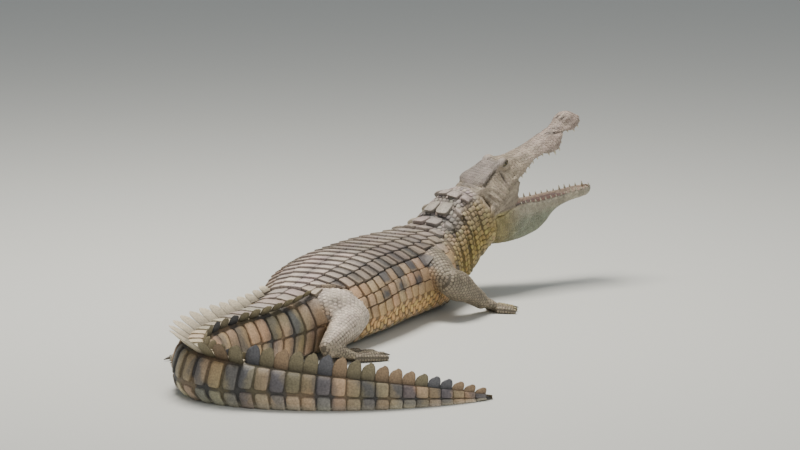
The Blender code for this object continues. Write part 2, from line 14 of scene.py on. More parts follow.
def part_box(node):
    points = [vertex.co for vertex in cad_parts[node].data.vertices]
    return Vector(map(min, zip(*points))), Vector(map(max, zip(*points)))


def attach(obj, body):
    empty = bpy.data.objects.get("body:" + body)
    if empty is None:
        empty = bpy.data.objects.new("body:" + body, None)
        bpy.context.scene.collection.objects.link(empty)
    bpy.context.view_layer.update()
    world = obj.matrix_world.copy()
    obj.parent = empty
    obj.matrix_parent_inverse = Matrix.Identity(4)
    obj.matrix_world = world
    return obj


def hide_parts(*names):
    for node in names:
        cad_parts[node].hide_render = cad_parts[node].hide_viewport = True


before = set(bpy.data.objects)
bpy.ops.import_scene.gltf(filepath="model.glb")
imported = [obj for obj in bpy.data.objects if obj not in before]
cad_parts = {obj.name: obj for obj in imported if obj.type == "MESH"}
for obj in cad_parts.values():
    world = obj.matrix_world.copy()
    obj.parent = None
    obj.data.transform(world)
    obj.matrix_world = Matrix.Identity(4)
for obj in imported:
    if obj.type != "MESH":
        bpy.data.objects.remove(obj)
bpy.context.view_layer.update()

# ---------------------------------------------------------------------------------------------
# Studio: a wide pale floor, soft lamps overhead and beside the animal, and a long lens that looks
# at its right flank from behind, a little above its back.
HEAD_YAW = -30
HEAD_PITCH = 34.5
JAW_PITCH = 7
EYE_PLACE = (0.137, 0.0345, 0.0705)
HINGE_HEIGHT = 0.2255


def head_turn(pitch):
    """Rotation of a frame that points along the snout at a pitch."""
    return Matrix.Rotation(math.radians(HEAD_YAW), 4, "Z") @ Matrix.Rotation(-math.radians(pitch), 4, "Y")


eye_boxes = [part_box("eye_left"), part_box("eye_right")]
eye_middle = sum((low + high for low, high in eye_boxes), Vector()) / 4
hinge = eye_middle - head_turn(HEAD_PITCH) @ Vector((EYE_PLACE[0], 0, EYE_PLACE[2]))

bpy.ops.object.select_all(action="DESELECT")
bpy.ops.mesh.primitive_plane_add(size=60)
floor = bpy.context.object
floor.name = "studio_floor"
paint = bpy.data.materials.new("pale_floor")
paint.use_nodes = True
paint.node_tree.nodes["Principled BSDF"].inputs["Base Color"].default_value = (0.62, 0.63, 0.6, 1)
paint.node_tree.nodes["Principled BSDF"].inputs["Roughness"].default_value = 0.9
floor.data.materials.append(paint)

world = bpy.data.worlds.new("studio")
world.use_nodes = True
world.node_tree.nodes["Background"].inputs["Color"].default_value = (0.9, 0.95, 1, 1)
world.node_tree.nodes["Background"].inputs["Strength"].default_value = 0.34
bpy.context.scene.world = world

LAMPS = [("overhead", (0.2, 0.9, 4.0), 1.6, 250), ("flank_side", (-2.6, -3.4, 2.4), 3.0, 55)]
for lamp_name, spot, size, power in LAMPS:
    bpy.ops.object.light_add(type="AREA", location=spot)
    lamp = bpy.context.object
    lamp.name = lamp_name
    lamp.data.size = size
    lamp.data.energy = power
    lamp.data.color = (1, 0.95, 0.87)
    lamp.rotation_euler = (Vector((0, 0, 0.1)) - Vector(spot)).to_track_quat("-Z", "Y").to_euler()

VIEW_AZIMUTH, VIEW_RISE, VIEW_DISTANCE, VIEW_LENS = math.radians(-63), math.radians(10), 12, 193.3
view_right = Vector((math.cos(VIEW_AZIMUTH), math.sin(VIEW_AZIMUTH), 0))
view_back = Vector((math.sin(VIEW_AZIMUTH) * math.cos(VIEW_RISE),
                    -math.cos(VIEW_AZIMUTH) * math.cos(VIEW_RISE), math.sin(VIEW_RISE)))
table_rear = hinge + Matrix.Rotation(math.radians(HEAD_YAW), 4, "Z") @ Vector((-0.0344, 0, 0.0945))
aim = table_rear - view_right * 0.179 - view_back.cross(view_right) * 0.123
bpy.ops.object.camera_add(location=aim + view_back * VIEW_DISTANCE)
camera = bpy.context.object
camera.rotation_euler = view_back.to_track_quat("Z", "Y").to_euler()
camera.data.lens = VIEW_LENS
camera.data.clip_end = 100
bpy.context.scene.camera = camera

# ---------------------------------------------------------------------------------------------
# Body line: the spine in plan from the jaw hinge to the tail tip, and the section round it.
# Places are distances along it; a share of girth is 0 on the back and 1 under the belly.
HEADING = [(0, HEAD_YAW), (0.1, -20), (0.2, -10), (0.3, -5), (0.43, -2), (0.63, 3), (0.83, 6), (1.0, 4),
           (1.15, -4), (1.28, -7), (1.4, 2), (1.52, 30), (1.65, 72), (1.78, 98), (1.92, 112),
           (2.08, 127), (2.24, 139), (2.39, 147)]
BACK = [(0, 0.310), (0.05, 0.301), (0.1, 0.279), (0.14, 0.248), (0.18, 0.225), (0.22, 0.214),
        (0.27, 0.211), (0.34, 0.212), (0.43, 0.214), (0.63, 0.214), (0.81, 0.203), (0.93, 0.188),
        (1.0, 0.177), (1.13, 0.161), (1.33, 0.149), (1.53, 0.134), (1.78, 0.11), (2.03, 0.081),
        (2.28, 0.04), (2.39, 0.014)]
BELLY = [(0, 0.148), (0.05, 0.112), (0.1, 0.07), (0.15, 0.032), (0.2, 0.006), (0.24, -0.004),
         (2.39, -0.004)]
HALF_WIDTH = [(0, 0.099), (0.05, 0.1), (0.1, 0.106), (0.18, 0.125), (0.26, 0.145), (0.43, 0.165),
              (0.63, 0.172), (0.81, 0.16), (0.93, 0.13), (1.0, 0.105), (1.13, 0.088), (1.33, 0.073),
              (1.53, 0.06), (1.78, 0.042), (2.03, 0.026), (2.28, 0.012), (2.39, 0.004)]
LEAN = [(0, 20), (0.05, 17), (0.1, 12), (0.15, 7), (0.2, 3), (0.24, 0), (2.39, 0)]
WAIST = 0.43
BACK_POWER = 2.3
BELLY_POWER = [(1.0, 3.0), (1.45, 2.2)]
BODY_LENGTH = 2.39
SPINE_STEP = 0.005
HIDE_FLOOR = 0.0015


def follow(stations, place):
    """Values at places, on a smooth curve through (place, value) stations that adds no bumps."""
    places, values = np.array(stations, float).T
    place = np.clip(place, places[0], places[-1])
    steps = np.diff(places)
    slopes = np.diff(values) / steps
    product = slopes[:-1] * slopes[1:]
    total = np.where(product > 0, slopes[:-1] + slopes[1:], 1)
    tangents = np.concatenate([slopes[:1], np.where(product > 0, 2 * product / total, 0), slopes[-1:]])
    i = np.clip(np.searchsorted(places, place) - 1, 0, len(steps) - 1)
    t = (place - places[i]) / steps[i]
    rise = values[i + 1] - values[i]
    swing = tangents[i] * t * (1 - t) ** 2 - tangents[i + 1] * t * t * (1 - t)
    return values[i] + rise * t * t * (3 - 2 * t) + steps[i] * swing


spine_places = np.arange(0, BODY_LENGTH + SPINE_STEP / 2, SPINE_STEP)
step_headings = np.radians(follow(HEADING, spine_places[:-1] + SPINE_STEP / 2))
spine_x = hinge.x - np.concatenate([[0], np.cumsum(np.cos(step_headings)) * SPINE_STEP])
spine_y = hinge.y - np.concatenate([[0], np.cumsum(np.sin(step_headings)) * SPINE_STEP])


def body_points(place, side, height):
    """World points beside the spine: side to the animal's left, leaned about the hinge's level."""
    heading = np.radians(follow(HEADING, place))
    back = (height - HINGE_HEIGHT) * np.tan(np.radians(follow(LEAN, place))) + np.minimum(place, 0)
    x = np.interp(place, spine_places, spine_x) - np.sin(heading) * side - np.cos(heading) * back
    y = np.interp(place, spine_places, spine_y) + np.cos(heading) * side - np.sin(heading) * back
    return np.stack(np.broadcast_arrays(x, y, height), -1)


def body_section(place, count):
    """Sides and heights of one ring from the back round the left, evenly spaced, and its half girth."""
    turn = np.linspace(0, np.pi, 721)
    top, bottom, half = follow(BACK, place), follow(BELLY, place), follow(HALF_WIDTH, place)
    waist = bottom + WAIST * (top - bottom)
    upper = turn <= np.pi / 2
    power = np.where(upper, BACK_POWER, follow(BELLY_POWER, place))
    side = half * np.sin(turn) ** (2 / power)
    rise = np.abs(np.cos(turn)) ** (2 / power)
    height = np.maximum(np.where(upper, waist + rise * (top - waist), waist - rise * (waist - bottom)), 0)
    walked = np.concatenate([[0], np.cumsum(np.hypot(np.diff(side), np.diff(height)))])
    shares = np.linspace(0, 1, count // 2 + 1) * walked[-1]
    side, height = np.interp(shares, walked, side), np.interp(shares, walked, height)
    return (np.concatenate([side, -side[-2:0:-1]]), np.concatenate([height, height[-2:0:-1]]), walked[-1])


def ring_normals(grid):
    """Outward unit normals of a grid of rings, whichever way its rings run."""
    along = np.gradient(grid, axis=0)
    around = np.roll(grid, -1, axis=1) - np.roll(grid, 1, axis=1)
    normals = np.cross(along, around)
    normals /= np.linalg.norm(normals, axis=2, keepdims=True) + 1e-12
    outward = np.sum(normals * (grid - grid.mean(axis=1, keepdims=True)))
    return normals * np.sign(outward)


def bell(value, middle, spread):
    """Smooth bump of height 1."""
    return np.exp(-((value - middle) / spread) ** 2)


def ramp(value, low, high):
    """Smooth step from 0 at low to 1 at high."""
    t = np.clip((value - low) / (high - low), 0, 1)
    return t * t * (3 - 2 * t)


def plateau(value, start, full, fading, end):
    """Smooth step up from start to full and down again from fading to end."""
    return ramp(value, start, full) * (1 - ramp(value, fading, end))


BODY_COUNT = 104
body_places = np.concatenate([np.arange(-0.02, 0.3, 0.005), np.arange(0.3, 1.0, 0.0065),
                              np.arange(1.0, BODY_LENGTH + 0.001, 0.008)])
sections = [body_section(place, BODY_COUNT) for place in body_places]
half_girths = np.array([section[2] for section in sections])
ring_place = body_places[:, None]
body_grid = body_points(ring_place, np.array([s[0] for s in sections]), np.array([s[1] for s in sections]))
girth_share = np.linspace(0, 2, BODY_COUNT, endpoint=False)[None, :]
girth_share = np.minimum(girth_share, 2 - girth_share)
scale_depth = 0.005 - 0.0035 * ramp(girth_share, 0.5, 0.9)
scale_depth = scale_depth + 0.006 * (1 - ramp(ring_place, -0.02, 0.0))

# Folds of the neck and throat, and slack rolls low on the flank. The skin itself is set in, so that
# its scales make up the depth.
slant = ring_place - 0.05 * girth_share
on_neck = (0.45 + 0.55 * ramp(girth_share, 0.1, 0.25)) * (1 - ramp(girth_share, 0.8, 1.0))
FOLDS = [(-0.005, 0.006), (0.032, 0.006), (0.07, 0.005), (0.1, 0.011), (0.148, 0.012), (0.2, 0.007)]
folds = sum(depth * bell(slant, middle, 0.0055) for middle, depth in FOLDS)
rolls = 0.004 * np.sin(girth_share * 62 + np.sin(ring_place * 23) * 1.2)
rolls = rolls * bell(girth_share, 0.6, 0.14) * plateau(ring_place, 0.42, 0.52, 0.84, 0.92)
body_grid -= ring_normals(body_grid) * (scale_depth + folds * on_neck - rolls)[..., None]
body_grid[..., 2] = np.maximum(body_grid[..., 2], HIDE_FLOOR)

# ---------------------------------------------------------------------------------------------
# Skull and lower jaw: lofts along the snout, with the brow, the nose disc, the scalloped lips and
# the pouch of the throat. Distances are from the tip of each.
HEAD_LENGTH = 0.424
JAW_LENGTH = 0.392
LIP_HALF_WIDTH = [(0, 0.02), (0.012, 0.034), (0.035, 0.042), (0.062, 0.04), (0.076, 0.035),
                  (0.092, 0.04), (0.13, 0.049), (0.17, 0.048), (0.21, 0.05), (0.27, 0.06),
                  (0.33, 0.077), (0.38, 0.092), (0.43, 0.099)]
SKULL_TOP = [(0, 0.018), (0.01, 0.034), (0.03, 0.042), (0.05, 0.042), (0.075, 0.04), (0.12, 0.043),
             (0.18, 0.051), (0.23, 0.061), (0.262, 0.071), (0.285, 0.079), (0.32, 0.086),
             (0.36, 0.09), (0.378, 0.088), (0.39, 0.082), (0.43, 0.082)]
EDGE_HALF_WIDTH = [(0, 0.01), (0.012, 0.022), (0.035, 0.029), (0.06, 0.026), (0.08, 0.023),
                   (0.13, 0.028), (0.2, 0.03), (0.25, 0.031), (0.28, 0.036), (0.31, 0.042),
                   (0.34, 0.049), (0.377, 0.06), (0.43, 0.06)]
EDGE_HEIGHT = [(0, 0.014), (0.01, 0.028), (0.03, 0.036), (0.05, 0.035), (0.075, 0.032),
               (0.12, 0.035), (0.18, 0.042), (0.23, 0.054), (0.26, 0.07), (0.283, 0.085),
               (0.305, 0.0875), (0.335, 0.0885), (0.36, 0.09), (0.377, 0.086), (0.39, 0.075),
               (0.43, 0.071)]
LIP_HEIGHT = [(0, 0.008), (0.02, 0.003), (0.045, 0.001), (0.06, 0.009), (0.072, 0.013), (0.086, 0.006),
              (0.118, -0.008), (0.145, -0.001), (0.17, 0.013), (0.2, 0.02), (0.24, 0.016),
              (0.28, 0.013), (0.32, 0.013), (0.36, 0.009), (0.43, 0.002)]
FLANK_BULGE = [(0, 0.6), (0.25, 0.5), (0.33, 0.3), (0.43, 0.3)]
JAW_HALF_WIDTH = [(0, 0.013), (0.012, 0.026), (0.04, 0.035), (0.075, 0.034), (0.12, 0.042),
                  (0.18, 0.046), (0.245, 0.057), (0.3, 0.075), (0.35, 0.09), (0.392, 0.096)]
JAW_DEPTH = [(0, 0.014), (0.03, 0.024), (0.1, 0.028), (0.19, 0.034), (0.28, 0.048), (0.335, 0.06),
             (0.392, 0.068)]
JAW_RISE = [(0, 0), (0.19, 0), (0.25, 0.009), (0.285, 0.012), (0.32, 0.009), (0.36, 0), (0.392, 0)]
THROAT_DEPTH = [(0, 0.014), (0.03, 0.024), (0.08, 0.03), (0.11, 0.036), (0.14, 0.05), (0.17, 0.076),
                (0.21, 0.095), (0.27, 0.101), (0.33, 0.097), (0.392, 0.086)]
skull_frame = Matrix.Translation(hinge) @ head_turn(HEAD_PITCH)
jaw_frame = Matrix.Translation(hinge) @ head_turn(JAW_PITCH)
NOSE_RINGS = 5
HEAD_INSET = 0.0012


def rounded(corners, counts):
    """Closed outlines through corner points, (rings, corners, 2), with so many points on each side."""
    following = np.roll(corners, -1, axis=1)
    spans = np.linalg.norm(following - corners, axis=2, keepdims=True) + 1e-9
    slopes = (following - corners) / spans
    before = np.roll(slopes, 1, axis=1)
    product = before * slopes
    total = np.where(product > 0, before + slopes, 1)
    tangents = np.where(product > 0, 2 * product / total, 0)
    pieces = []
    for i, count in enumerate(counts):
        j = (i + 1) % corners.shape[1]
        t = (np.arange(count) / count)[None, :, None]
        rise = (corners[:, j] - corners[:, i])[:, None]
        swing = tangents[:, i][:, None] * t * (1 - t) ** 2 - tangents[:, j][:, None] * t * t * (1 - t)
        pieces.append(corners[:, i][:, None] + rise * t * t * (3 - 2 * t) + spans[:, i][:, None] * swing)
    return np.concatenate(pieces, axis=1)


def both_sides(half):
    """Corner points of whole outlines from left halves that run from the top middle to the bottom."""
    left = np.stack([np.stack(np.broadcast_arrays(*pair), -1) for pair in half], axis=1)
    right = left[:, -2:0:-1] * np.array([-1, 1])
    return np.concatenate([left, right], axis=1)


def in_frame(matrix, points):
    """Points of a frame in the world, as an array."""
    turn = np.array(matrix)
    return points @ turn[:3, :3].T + turn[:3, 3]


def with_nose(grid, reach):
    """A grid whose first ring is drawn to a rounded end, out along its own axis."""
    centre = grid[0].mean(axis=0)
    axis = centre - grid[1].mean(axis=0)
    axis = axis / np.linalg.norm(axis)
    angles = np.linspace(90, 0, NOSE_RINGS, endpoint=False) * np.pi / 180
    caps = [centre + (grid[0] - centre) * max(np.cos(a), 0.04) + axis * reach * np.sin(a) for a in angles]
    return np.concatenate([np.array(caps), grid])


def loft(length, distances, outline, tuck):
    """Grid of outlines along the snout, drawn in by a factor where it meets the neck."""
    ahead = np.broadcast_to(length - distances[:, None], outline.shape[:2])
    return np.stack([ahead, outline[..., 0] * tuck, outline[..., 1] * tuck], -1)


def face_lines(x, out, z):
    """Distances from the crease behind the eye, from the first fold of the nose and from a nostril."""
    nostril = np.hypot((x - 0.378) * 0.55, out - 0.0125)
    return x - 0.112 + (0.066 - z) * 0.28, z - 0.014 - (0.352 - x) * 0.6, nostril


d = skull_distances = np.concatenate([np.arange(0.001, 0.424, 0.0027), np.arange(0.424, 0.456, 0.004)])
lip, crown = follow(LIP_HALF_WIDTH, d), follow(SKULL_TOP, d)
edge, edge_height = follow(EDGE_HALF_WIDTH, d), follow(EDGE_HEIGHT, d)
lip_height, bulge = follow(LIP_HEIGHT, d), follow(FLANK_BULGE, d)
fall = edge_height - lip_height
gum = lip * 0.8
skull_corners = both_sides([
    (0 * d, crown), (edge * 0.6, crown * 0.6 + edge_height * 0.4), (edge, edge_height),
    (edge + (lip - edge) * bulge * 0.8, edge_height - fall * 0.3),
    (edge + (lip - edge) * (0.35 + bulge), edge_height - fall * 0.62),
    (lip, lip_height + fall * 0.12), (lip - 0.003, lip_height), (gum, lip_height),
    (gum - 0.004, lip_height + 0.006), (0 * d, np.maximum(lip_height + 0.008, 0.002))])
SKULL_COUNTS = [7, 6, 7, 8, 9, 3, 3, 2, 9]
skull_outline = rounded(skull_corners, SKULL_COUNTS + SKULL_COUNTS[::-1])
tuck = 1 - 0.1 * ramp(d[:, None] + skull_outline[..., 1] * 0.2, 0.42, 0.456)
skull_grid = loft(HEAD_LENGTH, d, skull_outline, tuck)

# What shows through the tight skin: ridges before the eyes, the rim of the nose disc, two slit nostrils
# and the folds behind them, jaw muscles, ear slits, brows, wrinkled jowls and the bulge of each tooth.
x, y, z = skull_grid[..., 0], np.abs(skull_grid[..., 1]), skull_grid[..., 2]
eye_crease, nose_crease, from_nostril = face_lines(x, y, z)
above = ramp(z, 0.02, 0.035)
ridge = 0.003 * bell(y, 0.02, 0.005) * bell(x, 0.2, 0.035) * above
nose_rim = 0.003 * bell(np.hypot(x - 0.386, y * 0.8), 0.02, 0.007) * above
nostril = 0.009 * bell(from_nostril, 0, 0.005) * above
nose_folds = 0.003 * (bell(nose_crease, 0, 0.003) + bell(nose_crease, 0.0125, 0.0026))
nose_folds = nose_folds * bell(x, 0.328, 0.028) * ramp(y, 0.006, 0.011)
muscle = 0.004 * bell(x, 0.06, 0.035) * bell(z, 0.035, 0.022) * ramp(y, 0.05, 0.07)
ear = 0.007 * bell(z, 0.0755 + (x - 0.05) * 0.03, 0.004) * plateau(x, 0.03, 0.045, 0.098, 0.112)
ear = ear * ramp(y, 0.035, 0.042)
socket = 0.009 * bell(np.sqrt((x - EYE_PLACE[0]) ** 2 + (z - EYE_PLACE[2]) ** 2 * 2.2), 0, 0.0115)
socket = socket * ramp(y, 0.03, 0.036)
brow = 0.0015 * bell(np.hypot(x - EYE_PLACE[0], (z - EYE_PLACE[2] - 0.019) * 2), 0, 0.024)
behind_eye = 0.006 * bell(eye_crease, 0, 0.0035) * bell(z, 0.05, 0.02) * ramp(y, 0.035, 0.045)
jowls = 0.0022 * np.sin((x + z * 0.5) * 330 + np.sin(z * 90)) * bell(x, 0.05, 0.05)
jowls = jowls * (1 - ramp(z, 0.05, 0.07)) * ramp(y, 0.06, 0.075)
tooth_bumps = 0.0014 * np.sin(x * 190) * bell(z - 0.012, 0, 0.01) * ramp(y, 0.03, 0.04) * ramp(x, 0.12, 0.16)
swell = ridge + nose_rim - nostril - nose_folds + muscle - ear - socket + brow - behind_eye
swell = swell + jowls + tooth_bumps - HEAD_INSET
skull_grid += ring_normals(skull_grid) * swell[..., None]
skull_grid = with_nose(skull_grid, 0.007)

d = jaw_distances = np.concatenate([np.arange(0.001, 0.392, 0.003), np.arange(0.392, 0.425, 0.004)])
rim, depth, throat = follow(JAW_HALF_WIDTH, d), follow(JAW_DEPTH, d), follow(THROAT_DEPTH, d)
rise = follow(JAW_RISE, d)
inner = rim * 0.74
mouth_floor = -0.002 - np.minimum(depth * 0.35, 0.014)
jaw_corners = both_sides([
    (0 * d, mouth_floor), (inner * 0.7, mouth_floor), (inner, rise - 0.002), (rim - 0.004, rise - 0.0012),
    (rim, rise - 0.005), (rim, -depth * 0.5), (rim * 0.92, -depth * 0.9),
    (rim * 0.7, -(depth * 0.35 + throat * 0.55)), (rim * 0.36, -throat * 0.96), (0 * d, -throat)])
JAW_COUNTS = [4, 4, 3, 3, 5, 6, 8, 7, 7]
jaw_outline = rounded(jaw_corners, JAW_COUNTS + JAW_COUNTS[::-1])
tuck = 1 - 0.1 * ramp(d[:, None], 0.38, 0.425)
jaw_grid = loft(JAW_LENGTH, d, jaw_outline, tuck)
x, y, z = jaw_grid[..., 0], np.abs(jaw_grid[..., 1]), jaw_grid[..., 2]
pleats = 0.0025 * np.sin(y * 260 + np.sin(x * 40)) * ramp(-z, 0.045, 0.07) * (1 - ramp(x, 0.24, 0.3))
jaw_grid += ring_normals(jaw_grid) * (pleats - HEAD_INSET)[..., None]
jaw_grid = with_nose(jaw_grid, 0.006)
skull_world, jaw_world = in_frame(skull_frame, skull_grid), in_frame(jaw_frame, jaw_grid)

# ---------------------------------------------------------------------------------------------
# Limbs: tapered lofts from shoulder and hip down to the toes, folded beside the body, with rounded
# elbows and knees and knuckled toes; the hind toes are webbed.


def limb_grid(points, widths, heights, sides, round_ends=True):
    """Rings through points, with a half width and a half height at each and rounded ends."""
    along = np.gradient(points, axis=0)
    along /= np.linalg.norm(along, axis=1, keepdims=True)
    side = np.cross(along, (0, 0, 1))
    side /= np.linalg.norm(side, axis=1, keepdims=True)
    up = np.cross(side, along)
    turn = 2 * np.pi * (np.arange(sides) + 0.5) / sides
    grid = (points[:, None] + side[:, None] * (widths[:, None] * np.cos(turn))[..., None]
            + up[:, None] * (heights[:, None] * np.sin(turn))[..., None])
    if not round_ends:
        return grid
    grid = with_nose(grid, min(widths[0], heights[0]) * 0.7)
    return with_nose(grid[::-1], min(widths[-1], heights[-1]) * 0.7)[::-1]


def arched(start, end, lift, steps):
    """Points from start to end that rise in an arch between them."""
    t = np.linspace(0, 1, steps)[:, None]
    return start * (1 - t) + end * t + np.array((0, 0, lift)) * np.sin(np.pi * t)


def eased(values, steps):
    """Values at equal steps on a smooth curve through equally spaced ones."""
    stations = [(i / (len(values) - 1), value) for i, value in enumerate(values)]
    return follow(stations, np.linspace(0, 1, steps))


def beside(place, side, height):
    """One world point beside the spine, not leaned."""
    heading = math.radians(follow(HEADING, place))
    return np.array((np.interp(place, spine_places, spine_x) - math.sin(heading) * side,
                     np.interp(place, spine_places, spine_y) + math.cos(heading) * side, height))


def heading_step(degrees):
    """Level unit vector at a heading."""
    return np.array((math.cos(math.radians(degrees)), math.sin(math.radians(degrees)), 0))


LIMBS = {
    "fore": {"joints": ((0.32, 0.07, 0.115), (0.41, 0.202, 0.112), (0.25, 0.228, 0.034)),
             "widths": ((0.062, 0.06, 0.048, 0.032), (0.036, 0.038, 0.03, 0.024)),
             "heights": ((0.066, 0.064, 0.052, 0.036), (0.038, 0.042, 0.03, 0.023)),
             "turn_at": 0.3, "toes": (-12, 8, 26, 46, 68), "lengths": (0.05, 0.06, 0.064, 0.058, 0.046),
             "radius": 0.0095, "palm": (0.05, 0.034, 0.021), "web": 0, "foot": "hand"},
    "hind": {"joints": ((0.98, 0.04, 0.1), (0.915, 0.152, 0.1), (1.08, 0.15, 0.042)),
             "widths": ((0.06, 0.064, 0.056, 0.036), (0.036, 0.042, 0.034, 0.024)),
             "heights": ((0.06, 0.064, 0.058, 0.04), (0.042, 0.044, 0.034, 0.025)),
             "turn_at": 0.93, "toes": (6, 20, 34, 50), "lengths": (0.085, 0.1, 0.1, 0.085),
             "radius": 0.0105, "palm": (0.085, 0.036, 0.024), "web": 0.45, "foot": "foot"},
}
# How a leg lies: drop of its root, height of its middle joint, share of thickness and turn of its foot.
# The left hind leg trails behind, lower and flatter than the others.
FOLDED, TRAILING = (0, None, 1, 0), (0.012, 0.06, 0.8, 135)
HIDE_INSET = 0.0015
LIMB_FLOOR = 0.0006
limb_lofts, toe_lofts, toe_ends, web_fans = [], [], [], []
for kind, limb in LIMBS.items():
    for side, word in ((1, "left"), (-1, "right")):
        root, knee, ankle = [beside(place, side * out, up) for place, out, up in limb["joints"]]
        drop, knee_height, share, foot_turn = TRAILING if (kind, word) == ("hind", "left") else FOLDED
        root[2] -= drop
        knee[2] = knee_height or knee[2]
        for start, end, lift, widths, heights in (
                (root, knee, 0.012 - drop, limb["widths"][0], limb["heights"][0]),
                (knee, ankle, 0.004, limb["widths"][1], limb["heights"][1])):
            line = arched(start, end, lift, 30)
            limb_lofts.append(limb_grid(line, eased(widths, 30) - HIDE_INSET,
                                        eased(heights, 30) * share - HIDE_INSET, 36))
        ahead = follow(HEADING, limb["turn_at"])
        headings = [ahead + side * (turn + foot_turn) for turn in limb["toes"]]
        forward = heading_step(sum(headings) / len(headings))
        across = heading_step(sum(headings) / len(headings) + 90)
        reach, broad, deep = limb["palm"]
        radius = limb["radius"]
        sole_end = ankle + forward * reach
        sole_end[2] = radius * 1.1
        sole_line = arched(ankle, sole_end, 0.002, 14)
        limb_lofts.append(limb_grid(sole_line, eased((broad * 0.6, broad * 0.8, broad), 14) - HIDE_INSET,
                                    eased((deep, deep * 0.7, radius * 1.15), 14) - HIDE_INSET, 28))
        spread = math.copysign(broad * 1.5, headings[-1] - headings[0])
        tips = []
        for i, (turn, length) in enumerate(zip(headings, limb["lengths"])):
            toe_root = sole_end + across * (i / (len(headings) - 1) - 0.5) * spread - forward * 0.012
            share = np.linspace(0, 1, 22)
            line = toe_root + heading_step(turn) * (length * share)[:, None]
            line[:, 2] = follow([(0, toe_root[2]), (0.6, radius * 0.9), (1, radius * 0.7)], share)
            knuckles = 1 + 0.09 * (bell(share, 0.38, 0.09) + bell(share, 0.7, 0.07))
            knuckles = knuckles - 0.05 * bell(share, 0.55, 0.1)
            girth = (follow([(0, 1.05), (0.6, 1.0), (1, 0.72)], share) * radius - 0.001) * knuckles
            toe_lofts.append(limb_grid(line, girth, girth, 16))
            toe_ends.append((kind, word, i, line[-1], turn, radius))
            tips.append(line[-1] - heading_step(turn) * length * limb["web"])
        if limb["web"]:
            web_fans.append((np.array([ankle * 0.2 + sole_end * 0.8] + tips), radius))

for grid in limb_lofts + toe_lofts:
    grid[..., 2] = np.maximum(grid[..., 2], LIMB_FLOOR)

# ---------------------------------------------------------------------------------------------
# Hide: all those forms grown together into one closed skin with its seams smoothed away, wide on the
# body and narrow on the head and near the floor.
MERGE_DISTANCE = 0.0005
SEAM_GAP = 0.0002
WIDE_SEAM, NARROW_SEAM = 0.016, 0.006
SMOOTH_TURNS = 24


def tube_faces(rings, count, first=0):
    """Quads between neighbouring rings that have so many points each."""
    return [(low + k, low + (k + 1) % count, low + count + (k + 1) % count, low + count + k)
            for low in range(first, first + (rings - 1) * count, count) for k in range(count)]


def fan_faces(low, count, tip):
    """Triangles between a tip and a ring of points."""
    return [(tip, low + k, low + (k + 1) % count) for k in range(count)]


def select(made):
    """Selects one object alone and makes it active."""
    bpy.ops.object.select_all(action="DESELECT")
    made.select_set(True)
    bpy.context.view_layer.objects.active = made


def piece(name, points, faces):
    """New mesh object, selected."""
    mesh = bpy.data.meshes.new(name)
    mesh.from_pydata(np.array(points).tolist(), [], faces)
    made = bpy.data.objects.new(name, mesh)
    bpy.context.collection.objects.link(made)
    select(made)
    return made


def face_out(made):
    """Turns a closed mesh right side out."""
    select(made)
    bpy.ops.object.mode_set(mode="EDIT")
    bpy.ops.mesh.select_all(action="SELECT")
    bpy.ops.mesh.normals_make_consistent(inside=False)
    bpy.ops.object.mode_set(mode="OBJECT")


def shell(name, grid):
    """Closed object over a grid of rings, its two ends drawn together."""
    rings, count = grid.shape[:2]
    points = np.concatenate([grid.reshape(-1, 3), grid[:1].mean(axis=1), grid[-1:].mean(axis=1)])
    first = [(tip, after, before) for tip, before, after in fan_faces(0, count, rings * count)]
    last = fan_faces((rings - 1) * count, count, rings * count + 1)
    made = piece(name, points, tube_faces(rings, count) + first + last)
    face_out(made)
    return made


def grow_together(target, other):
    """Joins a closed object into another as one skin."""
    modifier = target.modifiers.new("grow_together", "BOOLEAN")
    modifier.operation = "UNION"
    modifier.solver = "MANIFOLD"
    modifier.object = other
    bpy.context.view_layer.objects.active = target
    bpy.ops.object.modifier_apply(modifier=modifier.name)
    bpy.data.objects.remove(other)


def coordinates(made):
    """Vertex places of a mesh object as an array."""
    flat = np.empty(len(made.data.vertices) * 3)
    made.data.vertices.foreach_get("co", flat)
    return flat.reshape(-1, 3)


def tree_of(points):
    """Search tree over points."""
    tree = kdtree.KDTree(len(points))
    for i, point in enumerate(points):
        tree.insert(point, i)
    tree.balance()
    return tree


hide = shell("hide", body_grid)
forms = [shell("skull", skull_world), shell("jaw", jaw_world)]
forms += [shell("limb", grid) for grid in limb_lofts] + [shell("toe", grid) for grid in toe_lofts]
for fan, radius in web_fans:
    count = len(fan)
    low = [(x, y, 0.0018) for x, y, z in fan]
    high = [(x, y, radius * 0.6) for x, y, z in fan]
    ends = [tuple(range(count)), tuple(range(count, 2 * count))]
    web = piece("web", low + high, ends + tube_faces(2, count))
    face_out(web)
    forms.append(web)

# Cheeks: the skin stretched between the jaws at the corners of the mouth, set in from the lips.
for side in (1, -1):
    rings = []
    for opened in np.linspace(-0.16, 1.5, 29):
        share = min(max(opened, 0), 1)
        reach = 0.1 + 0.03 * share + 0.022 * ramp(opened, 0.75, 1.3)
        along = np.linspace(-0.012, reach, 16)
        crease = 0.0015 * np.sin(opened * 16 + along * 60)
        outer = (follow(JAW_HALF_WIDTH, JAW_LENGTH - along) * (1 - share)
                 + follow(LIP_HALF_WIDTH, HEAD_LENGTH - along) * share)
        outer = outer - 0.0045 - 0.004 * math.sin(math.pi * share) + crease
        inside = outer - 0.011 + 0.006 * along / reach
        outline = np.concatenate([np.stack([along, side * outer, 0 * along], -1),
                                  np.stack([along, side * inside, 0 * along], -1)[::-1]])
        pitch = JAW_PITCH + (HEAD_PITCH - JAW_PITCH) * opened
        rings.append(in_frame(Matrix.Translation(hinge) @ head_turn(pitch), outline))
    forms.append(shell("cheek", np.array(rings)))

